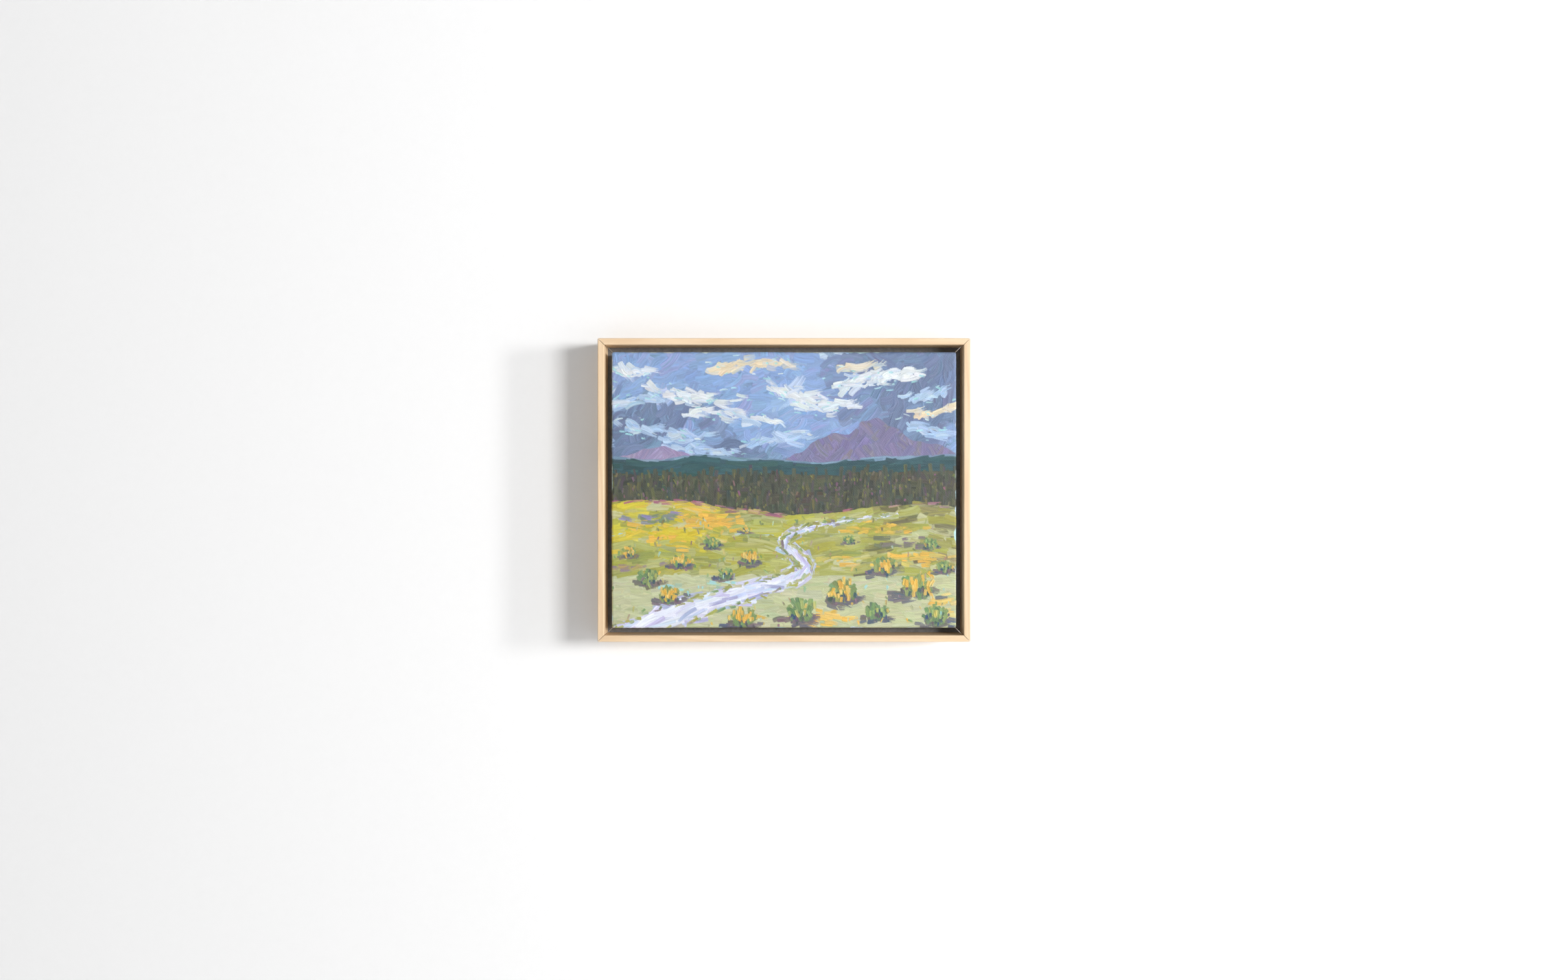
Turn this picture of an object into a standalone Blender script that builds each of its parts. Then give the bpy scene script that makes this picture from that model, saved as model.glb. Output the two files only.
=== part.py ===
"""A painted cloth on keyed stretcher bars, screwed into a float frame of L-section maple.

Metres, +Z up. The painted face looks along -Y and the frame stands on its bottom rail, with the
origin on the floor under the middle of the whole depth. Every side of the frame and of the
stretcher is first worked out as the bottom one and then turned about the middle of the frame.
"""

import math

import bmesh
import bpy
from mathutils import Matrix, Vector

MM = 0.001
GAP = 0.3 * MM  # clearance between pieces that touch or are let into each other
PROUD = 1.0 * MM  # how far a cutter stands out of the face that it opens

# The stretched cloth, as it measures outside: a 10 by 8 inch canvas
CANVAS_WIDTH = 254.0 * MM
CANVAS_HEIGHT = 203.2 * MM
CLOTH = 0.5 * MM
HEM = 22.0 * MM  # how far the cloth is turned over the back of the bars
CLOTH_EDGE = 0.5 * MM  # the small round where it turns

# Stretcher bars
BAR_WIDTH = 38.0 * MM
BAR_DEPTH = 19.0 * MM
BAR_EASE = 0.8 * MM
BAR_BEAD = 7.0 * MM  # the flat outer strip that the cloth bears on
BAR_FALL = 1.5 * MM  # how far the front slopes away behind the cloth
TONGUE_LAYER = 4.0 * MM
LIP = (BAR_DEPTH - 2 * TONGUE_LAYER) / 2

# Corner keys
KEY_LENGTH = 32.0 * MM
KEY_TIP = 2.5 * MM
KEY_BUTT = 9.0 * MM
KEY_THICKNESS = 3.4 * MM
KEY_DRIVEN = 18.0 * MM  # how far a key stands in its slot
KEY_SPARE = 2.0 * MM
KEY_TIP_HEIGHT = BAR_WIDTH - KEY_DRIVEN  # of a driven key, above the outside of its bar

# The L-section rails of the frame
WALL = 4.75 * MM
FLOAT_GAP = 5.35 * MM
FRAME_DEPTH = 31.75 * MM
FLANGE = 8.0 * MM  # thickness of the ledge that the stretcher lies on
FLANGE_REACH = 22.0 * MM  # width of the back of a rail
RAIL_EASE = 0.4 * MM

# Fasteners
STAPLE_CROWN = 10.0 * MM
STAPLE_WIRE = 0.6 * MM
STAPLE_BREADTH = 1.2 * MM
STAPLE_LEG = 5.6 * MM
STAPLE_INSET = 16.0 * MM  # from the edge of the canvas
STAPLES_LONG, PITCH_LONG = 6, 38.0 * MM
STAPLES_SHORT, PITCH_SHORT = 4, 45.0 * MM
SCREW_INSET = 16.0 * MM  # of a flange screw, from the outside of the frame
SCREW_LENGTH = 19.0 * MM
SCREW_SHANK = 1.6 * MM
SCREW_HEAD = 3.5 * MM
COUNTERSINK = 2.2 * MM
SCREW_POINT = 2.0 * MM
RECESS, RECESS_BREADTH, RECESS_DEPTH = 3.4 * MM, 0.7 * MM, 1.4 * MM  # the cross in a head
NAIL_PLACE = 16.0 * MM  # tip of a V-nail, from the outer corner along the mitre
NAIL_SPREAD = 5.0 * MM
NAIL_SHEET = 0.7 * MM
NAIL_DRIVE = 6.0 * MM

# Strap hangers on the back of the side rails
STRAP_WIDTH = 10.0 * MM
STRAP_SHEET = 0.8 * MM
STRAP_DROP = 24.0 * MM
STRAP_TAIL = 8.0 * MM
STRAP_SCREW_DROP = 19.0 * MM
STRAP_ROUND = 4.0 * MM  # the corners of its free end
PAN_HEAD = 3.1 * MM
PAN_HEIGHT = 2.1 * MM
PAN_LENGTH = 7.0 * MM
PAN_POINT = 1.4 * MM
RING_WIRE = 1.1 * MM
RING_HALF = 8.0 * MM
RING_DROP = 12.0 * MM
RING_CORNER = 2.5 * MM
HINGE_HEIGHT = 150.0 * MM
LOOP = RING_WIRE + GAP + STRAP_SHEET / 2  # radius of the middle of the rolled sheet
HINGE_OFF = GAP + STRAP_SHEET / 2 + LOOP  # from the back of the rail to the hinge

BUMPER_RADIUS = 5.0 * MM
BUMPER_INSET = 11.0 * MM
BUMPER_LIFT = 30.0 * MM

# Worked out from the above
FRAME_WIDTH = CANVAS_WIDTH + 2 * (FLOAT_GAP + WALL)
FRAME_HEIGHT = CANVAS_HEIGHT + 2 * (FLOAT_GAP + WALL)
BACK_STAND = HINGE_OFF + LOOP + STRAP_SHEET / 2  # what stands behind the rails
BUMPER_HEIGHT = BACK_STAND - GAP
FRONT = -(FRAME_DEPTH + BACK_STAND) / 2
BACK = FRONT + FRAME_DEPTH
LEDGE = BACK - FLANGE
CANVAS_BACK = LEDGE - GAP
BAR_BACK = CANVAS_BACK - CLOTH - GAP
BAR_FRONT = BAR_BACK - BAR_DEPTH
CANVAS_FRONT = BAR_FRONT - GAP - CLOTH
SKIN = CLOTH + GAP  # from the outside of the cloth to the bars
STRETCHER_WIDTH = CANVAS_WIDTH - 2 * SKIN
STRETCHER_HEIGHT = CANVAS_HEIGHT - 2 * SKIN
MIDDLE = Vector((0, 0, FRAME_HEIGHT / 2))
HANGER_X = FRAME_WIDTH / 2 - FLANGE_REACH / 2
SIDES = {"bottom": 0, "left": 90, "top": 180, "right": 270}
CORNER_OF = {"bottom": "bottom_left", "left": "top_left", "top": "top_right", "right": "bottom_right"}
ACROSS = {"bottom", "top"}

FACING_BACK = Matrix.Rotation(math.radians(-90), 4, "X")  # local +Z turned to +Y
UPRIGHT = Matrix.Rotation(math.radians(90), 4, "X")  # an outline in XY turned to XZ
ALONG = Matrix.Rotation(math.radians(90), 4, "Z") @ UPRIGHT  # an outline in XY turned to YZ

for old in list(bpy.data.objects):
    bpy.data.objects.remove(old)

parts = bpy.data.collections.new("stretched_canvas")
cutters = bpy.data.collections.new("cutters")
for collection in (parts, cutters):
    bpy.context.scene.collection.children.link(collection)


def finish(name, colour, roughness, metallic=0.0):
    """A plain Principled material."""
    made = bpy.data.materials.new(name)
    made.use_nodes = True
    shader = made.node_tree.nodes["Principled BSDF"]
    shader.inputs["Base Color"].default_value = (*colour, 1)
    shader.inputs["Roughness"].default_value = roughness
    shader.inputs["Metallic"].default_value = metallic
    return made


MAPLE = finish("maple", (0.88, 0.68, 0.46), 0.45)
PINE = finish("pine", (0.78, 0.60, 0.36), 0.6)
BEECH = finish("beech", (0.62, 0.42, 0.25), 0.6)
COTTON = finish("primed_cotton", (0.80, 0.79, 0.74), 0.85)
STAPLE_STEEL = finish("staple_steel", (0.62, 0.63, 0.65), 0.35, 1.0)
ZINC = finish("zinc_plate", (0.70, 0.68, 0.62), 0.3, 1.0)
NICKEL = finish("nickel_plate", (0.75, 0.74, 0.72), 0.2, 1.0)
RUBBER = finish("rubber", (0.05, 0.05, 0.05), 0.7)


def place(name, mesh, material, matrix=Matrix()):
    """A sub-part that shows mesh at matrix."""
    mesh.materials.clear()
    mesh.materials.append(material)
    part = bpy.data.objects.new(name, mesh)
    parts.objects.link(part)
    part.matrix_world = matrix
    return part


def place_cutter(name, mesh, matrix=Matrix()):
    cutter = bpy.data.objects.new(name, mesh)
    cutters.objects.link(cutter)
    cutter.matrix_world = matrix
    cutter.hide_render = True
    cutter.display_type = "WIRE"
    return cutter


def cut(part, cutter):
    """Takes the cutter's shape out of the part."""
    boolean = part.modifiers.new(f"less_{cutter.name}", "BOOLEAN")
    boolean.operation = "DIFFERENCE"
    boolean.solver = "EXACT"
    boolean.object = cutter


def baked(source):
    """The mesh of a helper object with its modifiers applied; the helper is removed."""
    bpy.context.view_layer.update()
    ready = source.evaluated_get(bpy.context.evaluated_depsgraph_get())
    mesh = bpy.data.meshes.new_from_object(ready)
    bpy.data.objects.remove(source)
    return mesh


def smooth(mesh, degrees=35):
    mesh.shade_smooth()
    mesh.set_sharp_from_angle(angle=math.radians(degrees))
    return mesh


def prism(name, outline, thickness, turn=UPRIGHT):
    """A flat outline given in XY, extruded both ways along Z, and then turned."""
    curve = bpy.data.curves.new(name, "CURVE")
    curve.dimensions = "2D"
    curve.fill_mode = "BOTH"
    curve.extrude = thickness / 2
    spline = curve.splines.new("POLY")
    spline.points.add(len(outline) - 1)
    for point, (x, y) in zip(spline.points, outline):
        point.co = (x, y, 0, 1)
    spline.use_cyclic_u = True
    helper = bpy.data.objects.new(name, curve)
    cutters.objects.link(helper)
    mesh = baked(helper)
    shape = bmesh.new()
    shape.from_mesh(mesh)
    bmesh.ops.remove_doubles(shape, verts=shape.verts, dist=0.001 * MM)
    bmesh.ops.transform(shape, matrix=turn, verts=shape.verts)
    bmesh.ops.recalc_face_normals(shape, faces=shape.faces)
    shape.to_mesh(mesh)
    shape.free()
    return mesh


def turned(name, profile, steps=24):
    """A profile of (radius, height) points, from top to bottom, turned about Z."""
    mesh = bpy.data.meshes.new(name)
    count = len(profile)
    mesh.from_pydata([(r, 0, h) for r, h in profile], [(i, i + 1) for i in range(count - 1)], [])
    helper = bpy.data.objects.new(name, mesh)
    cutters.objects.link(helper)
    screw = helper.modifiers.new("turn", "SCREW")
    screw.steps = screw.render_steps = steps
    screw.use_merge_vertices = True
    screw.merge_threshold = 0.01 * MM
    return smooth(baked(helper))


def boxes(name, places):
    """One mesh with a box for each (matrix, size)."""
    shape = bmesh.new()
    for matrix, size in places:
        bmesh.ops.create_cube(shape, size=1, matrix=matrix @ Matrix.Diagonal((*size, 1)))
    mesh = bpy.data.meshes.new(name)
    shape.to_mesh(mesh)
    shape.free()
    return mesh


def copies(name, mesh, matrices):
    """One mesh that holds a copy of mesh at each of the matrices."""
    shape = bmesh.new()
    for matrix in matrices:
        old = set(shape.verts)
        shape.from_mesh(mesh)
        bmesh.ops.transform(shape, matrix=matrix, verts=[v for v in shape.verts if v not in old])
    made = bpy.data.meshes.new(name)
    shape.to_mesh(made)
    shape.free()
    return made


def on_side(side, reach, along=0.0, inward=0.0, y=0.0):
    """Where a point of the bottom side goes on another side; reach is its outside's distance."""
    turn = Matrix.Rotation(math.radians(SIDES[side]), 4, "Y")
    return Matrix.Translation(MIDDLE) @ turn @ Matrix.Translation((along, y, inward - reach))


def frame_reach(side):
    return (FRAME_HEIGHT if side in ACROSS else FRAME_WIDTH) / 2


def stretcher_reach(side):
    return (STRETCHER_HEIGHT if side in ACROSS else STRETCHER_WIDTH) / 2


def mitre_outline(half_length, width, end):
    """What a mitre takes off one end (+1 or -1) of a rail whose outside is at height 0."""
    spare = 5 * MM
    slack = GAP / math.sqrt(2)
    corners = [
        (half_length + spare - slack, -spare),
        (half_length - width - spare - slack, width + spare),
        (half_length + 2 * spare, width + spare),
        (half_length + 2 * spare, -spare),
    ]
    return [(end * x, z) for x, z in corners]


def key_width(from_tip):
    """Width of a key at a distance from its tip."""
    return KEY_TIP + (KEY_BUTT - KEY_TIP) * from_tip / KEY_LENGTH


def key_outline(end):
    """A key with its tip at height 0 and its straight side on X = 0, for one end of a bar."""
    corners = [(0, 0), (-KEY_TIP, 0), (-KEY_BUTT, KEY_LENGTH), (0, KEY_LENGTH)]
    return [(end * x, z) for x, z in corners]


def slot_outline(half_length, end):
    """The room for the crossing bar's tongue at one end of a bar, and for the key beside it."""
    spare = 5 * MM
    out, top = half_length + spare, BAR_WIDTH + spare
    against = half_length - BAR_WIDTH - GAP
    slot_end = KEY_TIP_HEIGHT - KEY_SPARE
    wide, narrow = (key_width(z - KEY_TIP_HEIGHT) + GAP for z in (top, slot_end))
    corners = [
        (out, -spare),
        (out, top),
        (against - wide, top),
        (against - narrow, slot_end),
        (against, slot_end),
        (against, -spare),
    ]
    return [(end * x, z) for x, z in corners]


def bar_mesh(length):
    """A stretcher bar with its tongues and slots: the tongue is the front layer at the +X end."""
    profile = [
        (BAR_EASE, 0),
        (BAR_DEPTH - BAR_EASE, 0),
        (BAR_DEPTH, BAR_EASE),
        (BAR_DEPTH, BAR_WIDTH - BAR_EASE),
        (BAR_DEPTH - BAR_EASE, BAR_WIDTH),
        (BAR_FALL + BAR_EASE, BAR_WIDTH),
        (BAR_FALL, BAR_WIDTH - BAR_EASE),
        (0, BAR_BEAD),
        (0, BAR_EASE),
    ]
    name = f"bar_{length / MM:.0f}"
    bar = bpy.data.objects.new(name, prism(name, profile, length, ALONG))
    cutters.objects.link(bar)
    half = length / 2
    front_slot = (LIP - GAP / 2, LIP + TONGUE_LAYER + GAP / 2)
    back_slot = (LIP + TONGUE_LAYER - GAP / 2, LIP + 2 * TONGUE_LAYER + GAP / 2)
    beyond = 5 * MM
    used = []
    for end, (low, high) in ((1, back_slot), (-1, front_slot)):
        mitre = mitre_outline(half, BAR_WIDTH, end)
        shapes = [
            ("front_mitre", mitre, -beyond, LIP + GAP / 2),
            ("back_mitre", mitre, BAR_DEPTH - LIP - GAP / 2, BAR_DEPTH + beyond),
            ("slot", slot_outline(half, end), low, high),
        ]
        for what, outline, near, far in shapes:
            mesh = prism(what, outline, far - near)
            cutter = place_cutter(what, mesh, Matrix.Translation((0, (near + far) / 2, 0)))
            cut(bar, cutter)
            used.append(cutter)
    mesh = baked(bar)
    for cutter in used:
        bpy.data.objects.remove(cutter)
    return mesh


def rail_mesh(length):
    """One mitred length of the L-section, its front at depth 0 and its outside at height 0."""
    profile = [
        (RAIL_EASE, 0),
        (FRAME_DEPTH - RAIL_EASE, 0),
        (FRAME_DEPTH, RAIL_EASE),
        (FRAME_DEPTH, FLANGE_REACH),
        (FRAME_DEPTH - FLANGE, FLANGE_REACH),
        (FRAME_DEPTH - FLANGE, WALL),
        (RAIL_EASE, WALL),
        (0, WALL - RAIL_EASE),
        (0, RAIL_EASE),
    ]
    name = f"rail_{length / MM:.0f}"
    rail = bpy.data.objects.new(name, prism(name, profile, length, ALONG))
    cutters.objects.link(rail)
    used = []
    for end in (1, -1):
        mesh = prism("mitre", mitre_outline(length / 2, FLANGE_REACH, end), 2 * FRAME_DEPTH)
        used.append(place_cutter("mitre", mesh, Matrix.Translation((0, FRAME_DEPTH / 2, 0))))
        cut(rail, used[-1])
    mesh = baked(rail)
    for cutter in used:
        bpy.data.objects.remove(cutter)
    return mesh


def chevron(grow=0.0):
    """The outline of a V-nail, tip at the origin and legs running towards -X."""
    side = NAIL_SPREAD + grow
    lean = grow * math.sqrt(2)
    thick = NAIL_SHEET * math.sqrt(2)
    return [
        (lean, 0),
        (lean - side, side),
        (-side - thick - lean, side),
        (-thick - lean, 0),
        (-side - thick - lean, -side),
        (lean - side, -side),
    ]


def nail_place(side):
    """On the mitre at the -X end of a side, turned so that the V opens towards the corner."""
    reach, other = frame_reach(side), frame_reach("left" if side in ACROSS else "bottom")
    step = NAIL_PLACE / math.sqrt(2)
    inward = Matrix.Rotation(math.radians(-45), 4, "Y")
    return on_side(side, reach, step - other, step) @ inward


def screw_profile(grow=0.0):
    """A countersunk wood screw; height 0 is the back of the frame."""
    top = PROUD if grow else -GAP
    return [
        (0, top),
        (SCREW_HEAD + grow, top),
        (SCREW_HEAD + grow, -GAP),
        (SCREW_SHANK + grow, -GAP - COUNTERSINK),
        (SCREW_SHANK + grow, -SCREW_LENGTH + SCREW_POINT - grow),
        (0, -SCREW_LENGTH - grow),
    ]


def strap_screw_profile(grow=0.0):
    """A pan-headed screw, or its hole; height 0 is the outer face of the strap."""
    shank = [
        (SCREW_SHANK + grow, GAP if grow == 0 else PAN_HEIGHT),
        (SCREW_SHANK + grow, PAN_POINT - PAN_LENGTH - grow),
        (0, -PAN_LENGTH - grow),
    ]
    if grow:
        return [(0, PAN_HEIGHT), *shank]
    dome = [(0, 1), (0.5, 0.95), (0.87, 0.7), (1, 0.38)]
    head = [(PAN_HEAD * r, PAN_HEIGHT * h) for r, h in dome]
    return [*head, (PAN_HEAD, GAP), *shank]


def cross_headed(name, profile, top):
    """A turned screw with a cross recess let into its head."""
    screw = bpy.data.objects.new(name, turned(name, profile))
    cutters.objects.link(screw)
    centre = Matrix.Translation((0, 0, top))
    height = 2 * RECESS_DEPTH
    used = []
    for size in ((RECESS, RECESS_BREADTH, height), (RECESS_BREADTH, RECESS, height)):
        used.append(place_cutter("recess", boxes("recess", [(centre, size)])))
        cut(screw, used[-1])
    mesh = baked(screw)
    for cutter in used:
        bpy.data.objects.remove(cutter)
    return smooth(mesh)


def staple_outline():
    """A staple seen along the cloth: crown at the top, legs down, the cloth at height 0."""
    half = STAPLE_CROWN / 2
    inner = half - STAPLE_WIRE
    top, under = GAP + STAPLE_WIRE, GAP
    tip = under - STAPLE_LEG
    return [
        (-half, top),
        (-half, tip),
        (-inner, tip),
        (-inner, under),
        (inner, under),
        (inner, tip),
        (half, tip),
        (half, top),
    ]


def staple_places():
    """Side, running number and matrix of each staple: local X along the side, local Y to the back."""
    found = []
    for side in SIDES:
        count, pitch = (STAPLES_LONG, PITCH_LONG) if side in ACROSS else (STAPLES_SHORT, PITCH_SHORT)
        reach = frame_reach(side) - WALL - FLOAT_GAP
        for i in range(count):
            along = (i - (count - 1) / 2) * pitch
            where = on_side(side, reach, along, STAPLE_INSET, CANVAS_BACK)
            found.append((side, i + 1, where @ FACING_BACK @ UPRIGHT))
    return found


# The cutters that go through several pieces at once
staple_spots = staple_places()
leg_size = (STAPLE_WIRE + 2 * GAP, STAPLE_LEG + 2 * GAP, STAPLE_BREADTH + 2 * GAP)
leg_x, leg_y = (STAPLE_CROWN - STAPLE_WIRE) / 2, GAP - STAPLE_LEG / 2
leg_holes = [
    (matrix @ Matrix.Translation((sign * leg_x, leg_y, 0)), leg_size)
    for _, _, matrix in staple_spots
    for sign in (1, -1)
]
staple_holes = place_cutter("staple_holes", boxes("staple_holes", leg_holes))

screw_spots = {
    side: on_side(side, frame_reach(side), 0, SCREW_INSET, BACK) @ FACING_BACK for side in SIDES
}
pilot = turned("pilot", screw_profile(GAP))
screw_holes = place_cutter("screw_holes", copies("screw_holes", pilot, screw_spots.values()))

nail_spots = {side: nail_place(side) for side in SIDES}
pocket_height = NAIL_DRIVE + 2 * GAP + PROUD
pocket = prism("pocket", chevron(GAP), pocket_height)
pocket_depth = Matrix.Translation((0, BACK + PROUD - pocket_height / 2, 0))
nail_pockets = place_cutter(
    "nail_pockets", copies("nail_pockets", pocket, [pocket_depth @ m for m in nail_spots.values()])
)

hangers = {
    side: Matrix.Translation((sign * HANGER_X, BACK, HINGE_HEIGHT))
    for side, sign in (("left", -1), ("right", 1))
}
strap_face = GAP + STRAP_SHEET
strap_screw_spot = Matrix.Translation((0, strap_face, -STRAP_SCREW_DROP)) @ FACING_BACK
strap_pilot = turned("strap_pilot", strap_screw_profile(GAP))
strap_holes = place_cutter(
    "strap_holes",
    copies("strap_holes", strap_pilot, [m @ strap_screw_spot for m in hangers.values()]),
)

# Frame rails and stretcher bars
rail_shape = {True: rail_mesh(FRAME_WIDTH), False: rail_mesh(FRAME_HEIGHT)}
bar_shape = {True: bar_mesh(STRETCHER_WIDTH), False: bar_mesh(STRETCHER_HEIGHT)}
for side in SIDES:
    is_long = side in ACROSS
    where = on_side(side, frame_reach(side), y=FRONT)
    rail = place(f"frame_rail_{side}", rail_shape[is_long], MAPLE, where)
    cut(rail, screw_holes)
    cut(rail, nail_pockets)
    if not is_long:
        cut(rail, strap_holes)
    where = on_side(side, stretcher_reach(side), y=BAR_FRONT)
    bar = place(f"stretcher_bar_{side}", bar_shape[is_long], PINE, where)
    cut(bar, screw_holes)
    cut(bar, staple_holes)

# Two keys at each corner, one along each bar; each one's origin is the inner corner of its tip
order = list(SIDES)
for side in SIDES:
    half = (STRETCHER_WIDTH if side in ACROSS else STRETCHER_HEIGHT) / 2
    lies = "upright" if side in ACROSS else "level"
    for end, layer in ((-1, 0.5), (1, 1.5)):
        corner = CORNER_OF[side] if end < 0 else CORNER_OF[order[order.index(side) - 1]]
        along = end * (half - BAR_WIDTH - GAP)
        depth = BAR_FRONT + LIP + layer * TONGUE_LAYER
        where = on_side(side, stretcher_reach(side), along, KEY_TIP_HEIGHT, depth)
        mesh = prism("key", key_outline(end), KEY_THICKNESS)
        place(f"corner_key_{corner}_{lies}", mesh, BEECH, where)

# The cloth: a tray turned over the back of the bars
tray = bmesh.new()
size = (CANVAS_WIDTH, CANVAS_BACK - CANVAS_FRONT, CANVAS_HEIGHT)
bmesh.ops.create_cube(tray, size=1, matrix=Matrix.Diagonal((*size, 1)))
back_face = max(tray.faces, key=lambda face: face.calc_center_median().y)
bmesh.ops.inset_region(tray, faces=[back_face], thickness=HEM)
bmesh.ops.delete(tray, geom=[back_face], context="FACES")
corners = [e for e in tray.edges if len(e.link_faces) == 2 and e.calc_face_angle() > 0.5]
bmesh.ops.bevel(tray, geom=corners, offset=CLOTH_EDGE, segments=2, profile=0.5, affect="EDGES")
tray_mesh = bpy.data.meshes.new("canvas_cloth")
tray.to_mesh(tray_mesh)
tray.free()
middle_depth = (CANVAS_FRONT + CANVAS_BACK) / 2
cloth = place("canvas_cloth", tray_mesh, COTTON, Matrix.Translation((0, middle_depth, MIDDLE.z)))
shell = cloth.modifiers.new("cloth", "SOLIDIFY")
shell.thickness = CLOTH
shell.offset = -1
shell.use_even_offset = True
cut(cloth, screw_holes)
cut(cloth, staple_holes)

# Fasteners
staple_shape = prism("staple", staple_outline(), STAPLE_BREADTH, Matrix())
for side, number, matrix in staple_spots:
    place(f"staple_{side}_{number}", staple_shape, STAPLE_STEEL, matrix)

screw_shape = cross_headed("screw", screw_profile(), -GAP)
for side, matrix in screw_spots.items():
    place(f"flange_screw_{side}", screw_shape, ZINC, matrix)

nail_shape = prism("v_nail", chevron(), NAIL_DRIVE)
nail_depth = Matrix.Translation((0, BACK - GAP - NAIL_DRIVE / 2, 0))
for side, matrix in nail_spots.items():
    place(f"v_nail_{CORNER_OF[side]}", nail_shape, STAPLE_STEEL, nail_depth @ matrix)


def strap_mesh():
    """The strap as a strip of sheet: up the rail, round the ring and a short tail down again."""
    plate_y = GAP + STRAP_SHEET / 2
    tail_y = plate_y + STRAP_SHEET + GAP
    path = [(plate_y, -STRAP_DROP)]
    steps, wrap = 18, 270
    for i in range(steps + 1):
        angle = math.radians(180 - wrap * i / steps)
        path.append((HINGE_OFF + LOOP * math.cos(angle), LOOP * math.sin(angle)))
    path += [
        (tail_y + STRAP_SHEET / 5, -LOOP - STRAP_SHEET),
        (tail_y, -LOOP - 2 * STRAP_SHEET),
        (tail_y, -STRAP_TAIL),
    ]
    mesh = bpy.data.meshes.new("strap")
    shape = bmesh.new()
    half = STRAP_WIDTH / 2
    rows = [[shape.verts.new((x, y, z)) for y, z in path] for x in (-half, half)]
    for i in range(len(path) - 1):
        shape.faces.new((rows[0][i], rows[1][i], rows[1][i + 1], rows[0][i + 1]))
    free_end = [rows[0][0], rows[1][0]]
    bmesh.ops.bevel(
        shape, geom=free_end, offset=STRAP_ROUND, segments=5, profile=0.5, affect="VERTICES"
    )
    shape.to_mesh(mesh)
    shape.free()
    return mesh


def ring_path():
    """A D, its straight side through the strap at height 0 and its bow hanging below."""
    path = []
    steps = 5
    for i in range(steps + 1):
        turn = math.radians(90 * (1 - i / steps))
        x = RING_HALF - RING_CORNER + RING_CORNER * math.cos(turn)
        path.append((x, RING_CORNER * (math.sin(turn) - 1)))
    bow = 16
    for i in range(1, bow):
        turn = math.pi * i / bow
        drop = RING_CORNER + (RING_DROP - RING_CORNER) * math.sin(turn)
        path.append((RING_HALF * math.cos(turn), -drop))
    path += [(-x, z) for x, z in path[steps::-1]]
    return path


def ring_mesh():
    curve = bpy.data.curves.new("ring", "CURVE")
    curve.dimensions = "3D"
    curve.bevel_depth = RING_WIRE
    curve.bevel_resolution = 3
    spline = curve.splines.new("POLY")
    path = ring_path()
    spline.points.add(len(path) - 1)
    for point, (x, z) in zip(spline.points, path):
        point.co = (x, 0, z, 1)
    spline.use_cyclic_u = True
    helper = bpy.data.objects.new("ring", curve)
    cutters.objects.link(helper)
    return smooth(baked(helper), 60)


# Hangers
strap_shape = strap_mesh()
ring_shape = ring_mesh()
strap_screw_shape = cross_headed("strap_screw", strap_screw_profile(), PAN_HEIGHT)
for side, matrix in hangers.items():
    strap = place(f"hanger_strap_{side}", strap_shape, NICKEL, matrix)
    sheet = strap.modifiers.new("sheet", "SOLIDIFY")
    sheet.thickness = STRAP_SHEET
    sheet.offset = 0
    sheet.use_even_offset = True
    cut(strap, strap_holes)
    place(f"strap_screw_{side}", strap_screw_shape, ZINC, matrix @ strap_screw_spot)
    place(f"hanger_ring_{side}", ring_shape, NICKEL, matrix @ Matrix.Translation((0, HINGE_OFF, 0)))

# Rubber bumpers at the bottom corners
bumper_shape = turned(
    "bumper",
    [
        (0, BUMPER_HEIGHT),
        (BUMPER_RADIUS * 0.6, BUMPER_HEIGHT),
        (BUMPER_RADIUS * 0.85, BUMPER_HEIGHT * 0.88),
        (BUMPER_RADIUS, BUMPER_HEIGHT * 0.55),
        (BUMPER_RADIUS, 0),
        (0, 0),
    ],
)
for side, sign in (("left", -1), ("right", 1)):
    x = sign * (FRAME_WIDTH / 2 - BUMPER_INSET)
    spot = Matrix.Translation((x, BACK + GAP, BUMPER_LIFT)) @ FACING_BACK
    place(f"bumper_{side}", bumper_shape, RUBBER, spot)
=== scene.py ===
"""A small oil landscape on a stretched canvas in a maple float frame, hung on a white wall."""

import math

import bmesh
import bpy
import numpy as np
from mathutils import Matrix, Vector


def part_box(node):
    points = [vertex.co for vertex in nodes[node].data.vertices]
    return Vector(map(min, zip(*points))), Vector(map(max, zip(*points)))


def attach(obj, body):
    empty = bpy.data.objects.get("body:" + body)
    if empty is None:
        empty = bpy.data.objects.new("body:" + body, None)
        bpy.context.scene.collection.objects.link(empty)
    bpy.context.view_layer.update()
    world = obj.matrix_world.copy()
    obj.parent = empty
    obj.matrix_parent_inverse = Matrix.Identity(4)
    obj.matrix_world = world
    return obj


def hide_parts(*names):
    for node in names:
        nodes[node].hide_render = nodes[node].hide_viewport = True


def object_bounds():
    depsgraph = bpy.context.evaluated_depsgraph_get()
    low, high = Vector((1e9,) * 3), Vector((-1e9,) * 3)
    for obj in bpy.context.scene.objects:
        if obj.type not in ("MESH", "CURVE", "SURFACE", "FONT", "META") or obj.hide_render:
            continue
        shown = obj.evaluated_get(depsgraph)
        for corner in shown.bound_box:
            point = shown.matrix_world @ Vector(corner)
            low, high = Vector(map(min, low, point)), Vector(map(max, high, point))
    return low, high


MM = 0.001

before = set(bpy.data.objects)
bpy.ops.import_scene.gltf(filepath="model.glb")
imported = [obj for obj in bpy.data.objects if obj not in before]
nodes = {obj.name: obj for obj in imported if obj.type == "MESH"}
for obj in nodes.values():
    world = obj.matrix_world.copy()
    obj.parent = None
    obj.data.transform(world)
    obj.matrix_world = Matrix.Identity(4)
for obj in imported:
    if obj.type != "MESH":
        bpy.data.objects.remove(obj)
cad_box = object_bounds()

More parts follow.
